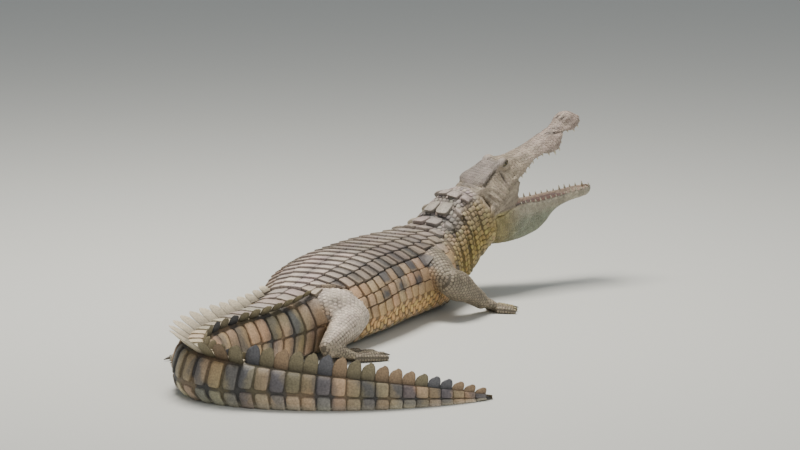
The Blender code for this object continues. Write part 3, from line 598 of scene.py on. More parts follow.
before = tree_of(np.concatenate([coordinates(form) for form in forms + [hide]]))
for form in forms:
    grow_together(hide, form)

select(hide)
bpy.ops.object.mode_set(mode="EDIT")
bpy.ops.mesh.select_all(action="SELECT")
bpy.ops.mesh.remove_doubles(threshold=MERGE_DISTANCE)
bpy.ops.mesh.quads_convert_to_tris()
bpy.ops.object.mode_set(mode="OBJECT")

points = coordinates(hide)
seam = tree_of([point for point in points if before.find(point)[2] > SEAM_GAP])
from_seam = np.array([seam.find(point)[2] for point in points])
narrow = (in_frame(skull_frame.inverted(), points)[:, 0] > 0.03) | (points[:, 2] < 0.03)
reach = np.where(narrow, NARROW_SEAM, WIDE_SEAM)
softness = 1 - ramp(from_seam / reach, 0.3, 1.0)
edges = np.empty(len(hide.data.edges) * 2, int)
hide.data.edges.foreach_get("vertices", edges)
edges = edges.reshape(-1, 2)
valence = np.bincount(edges.ravel(), minlength=len(points))[:, None]
for turn in range(SMOOTH_TURNS):
    total = np.zeros_like(points)
    for axis in range(3):
        total[:, axis] = (np.bincount(edges[:, 0], points[edges[:, 1], axis], len(points))
                          + np.bincount(edges[:, 1], points[edges[:, 0], axis], len(points)))
    points += (total / valence - points) * (softness * 0.6)[:, None]
points[:, 2] = np.maximum(points[:, 2], LIMB_FLOOR)
hide.data.vertices.foreach_set("co", points.ravel())
hide.data.update()

# ---------------------------------------------------------------------------------------------
# Colouring: lilac grey horn on the back, tan flanks with slate blotches that turn ochre low down,
# cream below, and cross bands of slate, tan and olive on the tail. Skin and scales share it. The
# colours are linear.
HORN_GREY = np.array((0.355, 0.305, 0.27))
TAN = np.array((0.47, 0.32, 0.19))
OCHRE = np.array((0.56, 0.35, 0.14))
CREAM = np.array((0.60, 0.55, 0.43))
SLATE = np.array((0.095, 0.095, 0.105))
OLIVE = np.array((0.26, 0.22, 0.13))
HEAD_DRAB = np.array((0.42, 0.35, 0.265))
SNOUT_BROWN = np.array((0.48, 0.385, 0.325))
LEG_BROWN = np.array((0.28, 0.235, 0.17))
THIGH_CREAM = np.array((0.62, 0.53, 0.44))
MOUTH_PINK = np.array((0.50, 0.385, 0.30))
# Cream of the far crest row, raised to stand for its sunlit faces: partly its own colour, partly painted
# light.
CREST_CREAM = np.array((0.62, 0.54, 0.40))
BLOTCH_BROWN = np.array((0.19, 0.175, 0.16))
NECK_OLIVE = np.array((0.40, 0.29, 0.085))
NECK_TAN = np.array((0.33, 0.255, 0.145))
THROAT_PALE = np.array((0.46, 0.38, 0.2))
JAW_CREAM = np.array((0.52, 0.47, 0.36))
JAW_OLIVE = np.array((0.35, 0.37, 0.27))
JAW_OCHRE = np.array((0.38, 0.32, 0.15))
MOUTH_SHARE = 0.86
# Slate blotches of the right flank lie in three staggered rows: first place, step and number, level as
# a share of the back's height, length and height of one
BLOTCH_ROWS = [(0.36, 0.09, 7, 0.9, 0.028, 0.055), (0.42, 0.09, 4, 0.76, 0.03, 0.07),
               (0.4, 0.11, 4, 0.58, 0.026, 0.06)]
BLOTCHES = [(first + step * turn, level, long, tall)
            for first, step, count, level, long, tall in BLOTCH_ROWS for turn in range(count)]
spine_tree = tree_of([(x, y, 0) for x, y in zip(spine_x, spine_y)])


def mottle(points, size, seed):
    """Smooth noise, from about -1 to 1, with lumps of a size."""
    return np.array([noise.noise(Vector(point) / size + Vector((seed, seed, seed))) for point in points])


def blend(low, high, share):
    """Mix of two colours by an array of shares."""
    return low * (1 - share[:, None]) + high * share[:, None]


def painted_crease_shade(x, out, z):
    """Painted shade of the lines behind the eye, at the ear and across the nose, and of the nostrils."""
    eye_crease, nose_crease, from_nostril = face_lines(x, out, z)
    lines = 0.85 * bell(eye_crease, 0, 0.0042) * bell(z, 0.05, 0.018)
    lines = lines + 0.45 * bell(eye_crease + 0.011, 0, 0.0028) * bell(z, 0.05, 0.014)
    lines = lines + 0.6 * bell(z, 0.0755, 0.0035) * plateau(x, 0.03, 0.045, 0.1, 0.112)
    lines = lines * ramp(out, 0.034, 0.04)
    nose_lines = bell(nose_crease, 0, 0.0036) + 0.8 * bell(nose_crease, 0.0125, 0.003)
    lines = lines + 0.8 * nose_lines * bell(x, 0.328, 0.028) * ramp(out, 0.006, 0.011)
    lines = lines + 0.9 * bell(from_nostril, 0, 0.006) * ramp(z, 0.022, 0.032)
    return np.clip(lines, 0, 0.85)


def tail_bands(place, level, flat, broad, lit_horn_grey):
    """Cross bands of olive, tan and slate, grey to cream under the crest and pale below."""
    banding = np.sin(place * 62 + 1.2 * broad + level * 1.2) + 1.1 * mottle(flat, 0.05, 4.4)
    band = blend(OLIVE, TAN, ramp(mottle(flat, 0.09, 9.0), -0.3, 0.3))
    band = blend(band, SLATE, ramp(banding, -0.05, 0.45) * (0.9 - 0.75 * ramp(level, 0.85, 1.0)))
    crest_base = blend(lit_horn_grey, CREST_CREAM * 0.85, ramp(place, 1.2, 1.45))
    band = blend(band, crest_base, ramp(level, 0.93, 1.0))
    return blend(CREAM, band, ramp(level, 0.03, 0.2))


def head_colours(colours, points, fine, blotchy):
    """Colours with those of the skull, the lower jaw and the mouth laid over them."""
    in_skull, in_jaw = (in_frame(matrix.inverted(), points) for matrix in (skull_frame, jaw_frame))
    x, out, z = in_skull[:, 0], np.abs(in_skull[:, 1]), in_skull[:, 2]
    jaw_x, jaw_out, jaw_z = in_jaw[:, 0], np.abs(in_jaw[:, 1]), in_jaw[:, 2]
    grain = 1 + 0.25 * fine[:, None]
    on_skull = ramp(x, 0.0, 0.02) * ramp(z, -0.02, -0.008)
    table = ramp(z, 0.075, 0.083) * (1 - ramp(x, 0.13, 0.17))
    drab = blend(HEAD_DRAB, SNOUT_BROWN, ramp(x, 0.15, 0.3))
    drab = blend(drab, HORN_GREY * 0.95, table)
    # Creases, the ear slit and the nostrils are darkened here: painted shade.
    drab = drab * (grain + 0.16 * blotchy[:, None]) * (1 - painted_crease_shade(x, out, z))[:, None]
    colours = blend(colours, drab, on_skull)
    on_jaw = ramp(jaw_x, 0.0, 0.02) * (1 - ramp(jaw_z, 0.002, 0.01)) * (z < 0.0)
    pale = blend(JAW_CREAM, JAW_OLIVE, ramp(-jaw_z, 0.015, 0.045))
    pale = blend(JAW_OCHRE, pale, ramp(jaw_x, 0.03, 0.13))
    # The cheek web is painted a darker drab: painted shade in the recessed corner of the mouth.
    cheek = ramp(jaw_x, 0.0, 0.02) * ramp(jaw_z, 0.0, 0.008) * (1 - ramp(z, -0.012, -0.004))
    colours = blend(colours, HEAD_DRAB * 0.8, cheek)
    colours = blend(colours, pale * grain, on_jaw)
    half_lip, lip_level = follow(LIP_HALF_WIDTH, HEAD_LENGTH - x), follow(LIP_HEIGHT, HEAD_LENGTH - x)
    palate = (out < half_lip * MOUTH_SHARE) * (z < lip_level + 0.012) * on_skull
    mouth = (jaw_out < follow(JAW_HALF_WIDTH, JAW_LENGTH - jaw_x) * MOUTH_SHARE) * (jaw_z > -0.02) * on_jaw
    return blend(colours, MOUTH_PINK, np.maximum(palate, mouth).astype(float))


def markings(points):
    """Skin colours, linear, at world points."""
    nearest = np.array([spine_tree.find((point[0], point[1], 0))[1] for point in points])
    place = spine_places[nearest]
    heading = np.radians(follow(HEADING, place))
    off = points[:, :2] - np.stack([spine_x[nearest], spine_y[nearest]], -1)
    side = off[:, 1] * np.cos(heading) - off[:, 0] * np.sin(heading)
    top, half, up = follow(BACK, place), follow(HALF_WIDTH, place), points[:, 2]
    level = up / top
    flat = np.stack([place, np.sign(side) * 0.4, up * 1.15], -1)
    broad, blotchy, fine = mottle(flat, 0.14, 0), mottle(flat, 0.045, 7.3), mottle(points, 0.02, 2.1)
    # Trunk: grey back, tan flank, ochre low down and cream belly, then the slate blotches
    back_edge = 0.8 + 0.06 * broad
    # The back's grey carries painted light: darker about the middle of the trunk for the shade in the gaps
    # between plates, and lighter toward the hips.
    painted_back_light = 1 - 0.2 * bell(place, 0.6, 0.14) + 0.35 * plateau(place, 0.78, 1.0, 1.1, 1.3)
    lit_horn_grey = HORN_GREY * painted_back_light[:, None]
    colours = blend(TAN, lit_horn_grey, ramp(level, back_edge - 0.06, back_edge + 0.08))
    colours = blend(OCHRE, colours, ramp(level, 0.26, 0.5))
    colours = blend(CREAM, colours, ramp(level, 0.03, 0.16))
    blotch = ramp(blotchy + 0.25 * broad, 0.12, 0.24) * plateau(level, 0.2, 0.36, 0.84, 0.95)
    drawn = sum(bell(place, at, long) * bell(level, height, tall) for at, height, long, tall in BLOTCHES)
    drawn = ramp(drawn + 0.25 * blotchy, 0.3, 0.5)
    outside_rows = 1 - ramp(place, 0.24, 0.3) * (place < 0.98)
    blotch = np.where(side < 0, np.maximum(drawn, blotch * outside_rows), blotch)
    shade = blend(SLATE * 0.85, BLOTCH_BROWN, ramp(fine + 0.5 * broad, 0.0, 0.9))
    colours = blend(colours, shade, blotch * 0.92)
    colours = blend(colours, tail_bands(place, level, flat, broad, lit_horn_grey), ramp(place, 0.98, 1.1))
    # Limbs: whatever stands out past the body's own section
    squared = np.abs(level - WAIST) / np.where(level > WAIST, 1 - WAIST, WAIST)
    section = (1 - np.clip(squared, 0, 1) ** BACK_POWER) ** (1 / BACK_POWER)
    beyond = np.abs(side) - half * section
    limb_colour = blend(LEG_BROWN, THIGH_CREAM, ramp(place, 0.6, 0.7) * ramp(up, 0.03, 0.1))
    limb_colour = limb_colour * (1 + 0.25 * fine[:, None])
    colours = blend(colours, limb_colour, ramp(beyond, 0.0, 0.03) * (place > 0.2) * (place < 1.15))
    # Neck, with the hands beside it, and the pale throat
    neck_tan = blend(NECK_OLIVE, NECK_TAN, ramp(level, 0.5, 0.85))
    neck_tan = blend(neck_tan, HORN_GREY * 0.95, ramp(level, 0.86, 0.97))
    neck_tan = blend(neck_tan, SLATE, ramp(blotchy, 0.2, 0.32) * 0.6 * ramp(place, 0.08, 0.14))
    colours = blend(colours, neck_tan, 1 - ramp(place, 0.16, 0.28))
    colours = blend(colours, limb_colour, ramp(beyond, 0.0, 0.02) * (up < 0.09) * (place < 0.3))
    throat = (1 - ramp(place, 0.1, 0.2)) * (1 - ramp(up - follow(BELLY, place), 0.0, 0.05))
    colours = blend(colours, THROAT_PALE, throat)
    return head_colours(colours, points, fine, blotchy) * (1 + 0.1 * fine[:, None])


def horn_paint(name, grain, roughness, depth):
    """Material of skin or horn: its marking attribute under fine grain, with cracks and pits in relief."""
    material = bpy.data.materials.new(name)
    material.use_nodes = True
    nodes, links = material.node_tree.nodes, material.node_tree.links
    shader = nodes["Principled BSDF"]
    shader.inputs["Roughness"].default_value = roughness
    kinds = ("Attribute", "TexCoord", "TexNoise", "MapRange", "VectorMath", "TexVoronoi", "Bump", "Math")
    made = [nodes.new("ShaderNode" + kind) for kind in kinds]
    marking, place, speckle, spread, shade, pits, bump, relief = made
    marking.attribute_name = "Marking"
    shade.operation = "SCALE"
    relief.operation = "ADD"
    for node, setting, value in (
            (speckle, "Scale", grain), (speckle, "Detail", 5), (pits, "Scale", grain * 2.2),
            (spread, "From Min", 0.3), (spread, "From Max", 0.7), (spread, "To Min", 0.72),
            (spread, "To Max", 1.22), (bump, "Distance", depth), (bump, "Strength", 0.7)):
        node.inputs[setting].default_value = value
    for giver, given, taker, taken in (
            (place, "Object", speckle, "Vector"), (place, "Object", pits, "Vector"),
            (speckle, "Fac", spread, "Value"), (marking, "Color", shade, 0),
            (spread, "Result", shade, "Scale"), (shade, "Vector", shader, "Base Color"),
            (speckle, "Fac", relief, 0), (pits, "Distance", relief, 1),
            (relief, "Value", bump, "Height"), (bump, "Normal", shader, "Normal")):
        links.new(giver.outputs[given], taker.inputs[taken])
    return material


def dress(made, slot, paint, colours, *replaced):
    """Paints a selected piece, smooths its shading and hides the nodes it replaces; the slot is not used."""
    made.data.materials.append(paint)
    stored = made.data.attributes.new("Marking", "FLOAT_COLOR", "POINT")
    stored.data.foreach_set("color", np.column_stack([colours, np.ones(len(colours))]).ravel())
    bpy.ops.object.shade_smooth()
    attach(made, "root")
    if replaced:
        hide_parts(*replaced)


hide.data.materials.clear()
hide.data.polygons.foreach_set("material_index", np.zeros(len(hide.data.polygons), int))
skin_tone = markings(points)
# The hide shows only between the scales, so it is darkened there as painted shade, less on the head and on
# pale skin.
on_head = ramp(in_frame(skull_frame.inverted(), points)[:, 0], -0.02, 0.01)
painted_gap_shade = 0.42 + 0.45 * np.maximum(on_head, 0.8 * ramp(skin_tone.mean(axis=1), 0.42, 0.5))
FLESH = [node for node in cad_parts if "claw" not in node and "eye" not in node and node != "tongue"]
dress(hide, "hide", horn_paint("skin", 160, 0.62, 0.0012), skin_tone * painted_gap_shade[:, None], *FLESH)

# ---------------------------------------------------------------------------------------------
# Dorsal shield: six columns of squarish bony plates in close cross rows, each with a low keel and
# a rear edge that stands a little over the next row. Horn over bone, grown into the hide.
hide_tree = bvhtree.BVHTree.FromPolygons(points.tolist(), [tuple(f.vertices) for f in hide.data.polygons])
chance = np.random.default_rng(4)
# Each skin's corner places on the map: left, low, right and high
ISLAND = {"body": (0.01, 0.02, 0.99, 0.40), "skull": (0.01, 0.42, 0.49, 0.60),
          "jaw": (0.51, 0.42, 0.99, 0.60)}


def on_grid(grid, ring, column):
    """World points at fractional rings and columns of a grid."""
    ring = np.clip(ring, 0, len(grid) - 1.001)
    i, j = np.floor(ring).astype(int), np.floor(column).astype(int)
    s, t = (ring - i)[..., None], (column - j)[..., None]
    count = grid.shape[1]
    j, k = j % count, (j + 1) % count
    near = grid[i, j] * (1 - t) + grid[i, k] * t
    return near * (1 - s) + (grid[i + 1, j] * (1 - t) + grid[i + 1, k] * t) * s


def walk(line):
    """Distances along a line of points."""
    return np.concatenate([[0], np.cumsum(np.linalg.norm(np.diff(line, axis=0), axis=1))])


def stagger(number):
    """Sideways shift, in beds, that every other row has the other way."""
    return 0.25 if number % 2 else -0.25


def lay_row(grid, ring, low, high, width, length, shift=0, island="body"):
    """One cross row of beds between two columns: roots, lies toward the tail, sizes and map places."""
    columns = np.linspace(low, high, 80)
    walked = walk(on_grid(grid, np.full(80, ring), columns))
    count = max(round(walked[-1] / width), 1)
    spots = (np.arange(count) + 0.5 + shift) / count * walked[-1]
    column = np.interp(spots, walked, columns)
    ring = np.full(count, ring)
    lie = on_grid(grid, ring + 0.5, column) - on_grid(grid, ring - 0.5, column)
    left, low_v, right, high_v = ISLAND[island]
    atlas = np.stack([left + (right - left) * ring / len(grid),
                      low_v + (high_v - low_v) * (column / grid.shape[1] % 1)], -1)
    return {"root": on_grid(grid, ring, column), "lie": lie, "width": np.full(count, walked[-1] / count),
            "length": np.full(count, length), "atlas": atlas}


def body_row(place, low, high, width, length, shift=0, ahead=0):
    """One row round the body between two shares of girth, negative on the right."""
    ring = np.interp(place - ahead, body_places, np.arange(len(body_places)))
    return lay_row(body_grid, ring, low * BODY_COUNT / 2, high * BODY_COUNT / 2, width, length, shift)


def share_at(place, distance):
    """Share of girth at a distance round from the middle of the back."""
    return distance / np.interp(place, body_places, half_girths)


def dome_faces(rings, count):
    """Faces of a closed dome: a flat base, its rings and a tip."""
    top = fan_faces((rings - 1) * count, count, rings * count)
    return [tuple(range(count))[::-1]] + tube_faces(rings, count) + top


def grow(rows, height, gap=0.001, points=8, square=2.4, keel=0.0, lift=0.0, sink=0.002, wild=0.1,
         rings=((1, 0.3), (0.8, 0.85)), hug=False, cover=0.007, tone=1.0, fade=0.0, vary=0.26,
         painted_wall_shade=(0.3, 0.6), tilt=0.0, wash=0.0, broad=0.0):
    """Closed domed scales on rows of beds: the points, faces, colours, with painted shade and light, and map
    places of them all.
    """
    beds = {key: np.concatenate([row[key] for row in rows]) for key in rows[0]}
    turn = 2 * np.pi * (np.arange(points) + 0.5) / points
    u = np.sign(np.cos(turn)) * np.abs(np.cos(turn)) ** (2 / square)
    v = np.sign(np.sin(turn)) * np.abs(np.sin(turn)) ** (2 / square)
    reach = [1] + [ring[0] for ring in rings]
    u, v = np.append(np.outer(reach, u), 0), np.append(np.outer(reach, v), 0)
    share = np.append(np.repeat([-1] + [ring[1] for ring in rings], points), 1.0)
    # Painted shade and light on every scale: dark walls, a crown a little brighter, and with fade a front
    # darkened where it tucks under the row ahead and a rear edge lightened.
    shade = np.append(np.repeat([*painted_wall_shade, *np.linspace(0.95, 1, len(rings) - 1)], points), 1.03)
    shade = shade * (1 + fade * u)
    map_reach = np.append(np.repeat([1, *(1 - 0.08 * np.arange(1, len(rings))), 0.6], points), 0)
    found = [hide_tree.find_nearest(root) for root in beds["root"]]
    kept = [i for i, hit in enumerate(found) if hit[3] < cover]
    root = np.array([found[i][0] for i in kept])
    normal = np.array([found[i][1] for i in kept])
    lie = beds["lie"][kept]
    lie = lie - normal * np.sum(lie * normal, axis=1, keepdims=True)
    lie /= np.linalg.norm(lie, axis=1, keepdims=True) + 1e-9
    across = np.cross(normal, lie)
    size = 1 + wild * (chance.random((len(kept), 3)) - 0.5)
    half_long = (beds["length"][kept] - gap) / 2 * size[:, 0]
    half_wide = (beds["width"][kept] - gap + broad) / 2 * size[:, 1]
    tall = height * size[:, 2:]
    place = (root[:, None] + lie[:, None] * (half_long[:, None] * u)[..., None]
             + across[:, None] * (half_wide[:, None] * v)[..., None])
    if hug:
        flat = place.reshape(-1, 3)
        hits = [hide_tree.find_nearest(point, 0.03) for point in flat]
        place = np.array([hit[0] or point for hit, point in zip(hits, flat)]).reshape(place.shape)
    ridge = keel * np.exp(-(v / 0.25) ** 2) * (0.55 + 0.45 * u) * (share > 0.5)
    outer = np.broadcast_to(tilt, len(beds["root"]))[kept][:, None]
    tip = np.maximum(lift * (u + 1) / 2, 0) + np.abs(outer) * (1 + np.sign(outer) * v) / 2
    rise = np.where(share < 0, -sink, share * tall + ridge + tip * (share > 0))
    place = place + normal[:, None] * rise[..., None]
    place[..., 2] = np.maximum(place[..., 2], 0.0003)
    tone = np.broadcast_to(tone, (len(beds["root"]), 3))[kept]
    colour = (tone * (1 + vary * (chance.random((len(kept), 1)) - 0.5)))[:, None]
    colour = colour * (1 + 0.3 * vary * (chance.random((len(kept), 1, 3)) - 0.5))
    own = markings(root)[:, None]
    if wash:
        own = own * (1 - wash) + markings(place.reshape(-1, 3)).reshape(place.shape) * wash
    colour = own * colour * shade[None, :, None] * (1 + 0.08 * (chance.random((len(kept), len(u), 1)) - 0.5))
    atlas = beds["atlas"][kept][:, None] + np.stack([u, v], -1)[None] * map_reach[None, :, None] * 0.0015
    return {"place": place, "faces": dome_faces(len(reach), points), "colour": colour, "atlas": atlas}


def coat(name, *batches):
    """Joins batches of scales into one piece of the hide that rides on the body."""
    faces, start = [], 0
    for batch in batches:
        number, size = batch["place"].shape[:2]
        faces += [tuple(base + k for k in face) for base in range(start, start + number * size, size)
                  for face in batch["faces"]]
        start += number * size
    places, colours = (np.concatenate([batch[key].reshape(-1, 3) for batch in batches])
                       for key in ("place", "colour"))
    atlas = np.concatenate([batch["atlas"].reshape(-1, 2) for batch in batches])
    made = piece(name, places, faces)
    corner = np.empty(len(made.data.loops), int)
    made.data.loops.foreach_get("vertex_index", corner)
    made.data.uv_layers.new(name="OFBake").data.foreach_set("uv", atlas[corner].ravel())
    dress(made, "hide", horn, colours)
    bpy.ops.object.shade_smooth_by_angle(angle=math.radians(50))


PLATE_PITCH = [(0.26, 0.049), (0.6, 0.0445), (0.98, 0.0385)]
SHIELD_HALF = [(0.22, 0.085), (0.3, 0.115), (0.45, 0.138), (0.75, 0.142), (0.9, 0.115), (0.98, 0.088)]
SHIELD_START, SHIELD_END = 0.268, 0.981
COLUMN_SHARES = (0, 0.37, 0.7, 1)
COLUMN_TONES = ((1.06, 1.04, 1.06), (0.95, 0.92, 0.9), (0.9, 0.84, 0.76))
ONE_BED = 0.07
# fade here paints the plates' fronts darker and their rear edges lighter: painted shade and light.
PLATE = dict(points=20, rings=((1, 0.45), (0.955, 0.95), (0.5, 1.0)), square=7, hug=True, sink=0.004,
             cover=0.02, fade=0.14, wash=0.6)
plate_places = [SHIELD_START]
while plate_places[-1] < 0.96:
    plate_places.append(plate_places[-1] + follow(PLATE_PITCH, plate_places[-1] + 0.02))
stretch = (SHIELD_END - SHIELD_START) / (plate_places[-1] - SHIELD_START)
plate_places = [SHIELD_START + (place - SHIELD_START) * stretch for place in plate_places]
horn = horn_paint("horn_plates", 210, 0.55, 0.0009)
rows, tones, tilts = [], [], []
for place in plate_places:
    half = share_at(place, follow(SHIELD_HALF, place))
    for inner, outer, tint in zip(COLUMN_SHARES, COLUMN_SHARES[1:], COLUMN_TONES):
        for side in (1, -1):
            rows.append(body_row(place, side * inner * half, side * outer * half, ONE_BED,
                                 follow(PLATE_PITCH, place) + 0.002))
            tones.append(tint)
            tilts.append(-0.0025 * side)
shield = grow(rows, 0.0035, gap=0.0022, broad=0.0026, keel=0.0015, lift=0.0055, wild=0.05, vary=0.2,
              tone=np.array(tones), tilt=np.array(tilts), **PLATE)
# Nape plates: place, distance out from the middle of the back, length and width of one
NECK_PLATES = [(0.066, 0.022, 0.036, 0.042), (0.058, 0.062, 0.028, 0.032), (0.126, 0.023, 0.046, 0.044),
               (0.114, 0.067, 0.038, 0.036), (0.177, 0.023, 0.042, 0.044), (0.165, 0.068, 0.04, 0.038),
               (0.221, 0.021, 0.044, 0.042), (0.221, 0.063, 0.044, 0.04)]
rows = [body_row(place, share_at(place, side * out - wide / 2), share_at(place, side * out + wide / 2),
                 wide, long) for side in (1, -1) for place, out, long, wide in NECK_PLATES]
nape = grow(rows, 0.005, points=20, square=4, keel=0.005, lift=0.008, hug=True, sink=0.005, cover=0.03,
            rings=((1, 0.4), (0.93, 0.9), (0.5, 1.0)), wild=0.05, fade=0.12, wash=0.5)
coat("dorsal_shield", shield, nape)

# ---------------------------------------------------------------------------------------------
# Flank and belly scales: bands of smooth rounded blocks that carry the plate rows down the sides,
# then flat square belly shields. Thin horn, grown into the hide.
BAR_WIDTHS = (0.037, 0.035, 0.033)
BELLY_EDGE = 0.74
SMALL_PITCH = 0.0216
BELLY_PITCH = 0.027
rows = []
for place in plate_places:
    half = follow(SHIELD_HALF, place)
    for number, wide in enumerate(BAR_WIDTHS):
        down = sum(BAR_WIDTHS[:number])
        inner, outer = share_at(place, half + down), share_at(place, half + down + wide)
        rows += [body_row(place, side * inner, side * outer, ONE_BED, follow(PLATE_PITCH, place) + 0.001,
                          ahead=0.25 * down) for side in (1, -1)]
bars = grow(rows, 0.0028, gap=0.0017, broad=0.001, lift=0.0035, wild=0.12, vary=0.3, **PLATE)
rows = []
for number in range(36):
    place = 0.245 + SMALL_PITCH * number
    bars_edge = share_at(place, follow(SHIELD_HALF, place) + 0.107)
    if bars_edge < BELLY_EDGE - 2 / BODY_COUNT:
        rows += [body_row(place, side * bars_edge, side * BELLY_EDGE, 0.0235, SMALL_PITCH, stagger(number))
                 for side in (1, -1)]
flank = grow(rows, 0.002, gap=0.0014, points=12, square=3, sink=0.003, lift=0.0008, wild=0.22, hug=True,
             tone=1.15, vary=0.4)
rows = [body_row(0.2 + BELLY_PITCH * number, BELLY_EDGE, 2 - BELLY_EDGE, 0.022, BELLY_PITCH)
        for number in range(31)]
belly = grow(rows, 0.0009, gap=0.0015, points=8, square=5, sink=0.001, wild=0.04)
coat("flank_and_belly_scales", bars, flank, belly)

# ---------------------------------------------------------------------------------------------
# Tail: each whorl is one ring of tall smooth plates, under two rows of upright crest scales that
# meet in a single row halfway along. Crest scales are thin flexible horn.
WHORLS = 36
DOUBLE_WHORLS = 18
FIRST_PITCH = 0.0445
PITCH_SHRINK = 0.0085
CREST_HEIGHT = [(1.0, 0.014), (1.13, 0.024), (1.3, 0.038), (1.45, 0.052), (1.62, 0.056), (1.76, 0.048),
                (1.95, 0.05), (2.13, 0.036), (2.39, 0.012)]
RIGHT_SHARE = [(1.0, 1.0), (1.13, 0.8), (1.4, 0.5), (1.76, 0.45)]
CREST_OFFSET = [(1.0, 0.062), (1.13, 0.05), (1.3, 0.034), (1.45, 0.024), (1.6, 0.018), (1.76, 0.01)]
LEFT_SPLAY = [(1.0, 40), (1.3, 46), (1.5, 56), (1.62, 50), (1.76, 14)]
RIGHT_SPLAY = [(1.0, 45), (1.13, 42), (1.4, 25), (1.76, 8)]


def whorl_place(number):
    """Place of the front edge of a tail whorl."""
    return 1.0 + FIRST_PITCH * (number - PITCH_SHRINK * number * (number - 1) / 2)


rows = []
for number in range(WHORLS):
    start, end = whorl_place(number), whorl_place(number + 1)
    place = (start + end) / 2
    girth = np.interp(place, body_places, half_girths)
    size = np.clip(girth * 0.36, 0.012, 0.078)
    crest = (follow(CREST_OFFSET, place) + 0.008 if number < DOUBLE_WHORLS else 0.006) / girth
    rows += [body_row(place, side * crest, side, size, end - start) for side in (1, -1)]
    if number < DOUBLE_WHORLS:
        rows.append(body_row(place, -crest * 0.8, crest * 0.8, size * 0.8, end - start))
whorl_plates = grow(rows, 0.003, gap=0.0014, broad=0.0008, points=16, square=6, sink=0.003, lift=0.0035,
                    rings=((1, 0.45), (0.94, 0.92), (0.68, 1.0), (0.36, 1.0)), hug=True, wild=0.06,
                    fade=0.12, wash=0.6, vary=0.4)
coat("tail_whorl_plates", whorl_plates)

# Crest scales: rings up each blade, from its root in the tail to its blunt tip
CREST_LEVELS = (-0.25, 0.1, 0.45, 0.75, 0.92, 1.0)
CREST_SHADES = (0.4, 0.62, 0.92, 1.05, 1.1, 1.1)
CREST_POINTS = 10
turn = 2 * np.pi * np.arange(CREST_POINTS) / CREST_POINTS
scales = []
for number in range(WHORLS):
    start = whorl_place(number)
    pitch = whorl_place(number + 1) - start
    place = start + pitch * 0.84
    tall, top = follow(CREST_HEIGHT, place), follow(BACK, place)
    for side in (1, -1) if number < DOUBLE_WHORLS else (0,):
        offset = side * follow(CREST_OFFSET, place)
        splay = side * math.radians(follow(LEFT_SPLAY if side > 0 else RIGHT_SPLAY, place))
        if side < 0:
            tall *= follow(RIGHT_SHARE, place)
        scale = []
        for level in CREST_LEVELS:
            up = max(level, 0)
            front, rear = 0.02 + 0.2 * up ** 2, 1.03 + 0.1 * math.sin(math.pi * up) - 0.04 * up
            narrow = math.sqrt(max(1 - up ** 8, 0.02))
            middle, half = (front + rear) / 2 + 0.12 * up ** 4, (rear - front) / 2 * narrow
            thick = 0.0042 * (1 - 0.72 * up) * min(pitch / 0.04, 1)
            along = start + pitch * (middle + half * np.cos(turn))
            out = thick * np.sin(turn)
            height = tall * level * (1 + 0.04 * np.cos(turn))
            sideways = offset + height * math.sin(splay) + out * math.cos(splay)
            rise = top - 0.004 + height * math.cos(splay) - out * math.sin(splay)
            scale.append(body_points(along, sideways, np.maximum(rise, 0.002)))
        scale.append(scale[-1].mean(axis=0, keepdims=True))
        scales.append((np.concatenate(scale), number, side))
# Painted shade at the root of each blade and along its front and rear edges, and painted light toward its
# tip.
painted_edge_shade = 1 - 0.5 * ramp(np.abs(np.cos(turn)), 0.8, 1)
crest_shade = np.append(np.outer(CREST_SHADES, painted_edge_shade), CREST_SHADES[-1])
colour, atlas = [], []
for scale, number, side in scales:
    # The far row is cream with painted light for its sunlit faces. The near row is dark olive and slate,
    # partly its own bands and partly painted shade. Past the bend the far row turns dark olive and brown, its
    # bands with painted shade.
    grey = chance.random()
    body = CREST_CREAM if side > 0 else OLIVE * (0.45 + 0.5 * grey)
    if side > 0 and number > 14:
        body = OLIVE * 0.75 if number % 2 else TAN * 0.4
    if side < 0 and grey < 0.4:
        body = SLATE * 0.6
    if side == 0:
        body = (OLIVE * 0.9, SLATE * 1.3, TAN * 0.7)[int(grey * 3)]
    colour.append(body * (0.9 + 0.2 * chance.random()) * crest_shade[:, None])
    atlas.append([(0.02 + 0.026 * number, 0.3 + 0.1 * side)] * len(scale))
coat("tail_crest", {"place": np.array([scale for scale, number, side in scales]),
                    "faces": dome_faces(len(CREST_LEVELS), CREST_POINTS),
                    "colour": np.array(colour), "atlas": np.array(atlas)})

# ---------------------------------------------------------------------------------------------
# Neck and throat beads: small rounded blocks in cross rows on loose folded skin, squarer under the
# throat, where they lie in rows like tiles. Thin horn, grown into the hide.
NECK_PITCH = 0.0145
THROAT_PITCH = 0.0095
THROAT_EDGE = 0.77
NECK_START = -0.002
rows = [body_row(NECK_START + NECK_PITCH * number, -THROAT_EDGE, THROAT_EDGE, NECK_PITCH, NECK_PITCH,
                 stagger(number)) for number in range(1, 18)]
beads = grow(rows, 0.0018, gap=0.0016, points=10, square=3.2, sink=0.0025, wild=0.25, cover=0.004, vary=0.4)
rows = [body_row(NECK_START + THROAT_PITCH * number, THROAT_EDGE, 2 - THROAT_EDGE, THROAT_PITCH, THROAT_PITCH)
        for number in range(1, 26)]
tiles = grow(rows, 0.0012, gap=0.0012, points=8, square=4, sink=0.0015, wild=0.1, cover=0.004)
coat("neck_beads", beads, tiles)

# ---------------------------------------------------------------------------------------------
# Limb scales: rounded scales that shrink toward the feet, and broad scutes along the toes.
LIMB_SCALES = (0.0105, 0.0095, 0.008)
TOE_SCUTE = 0.0075


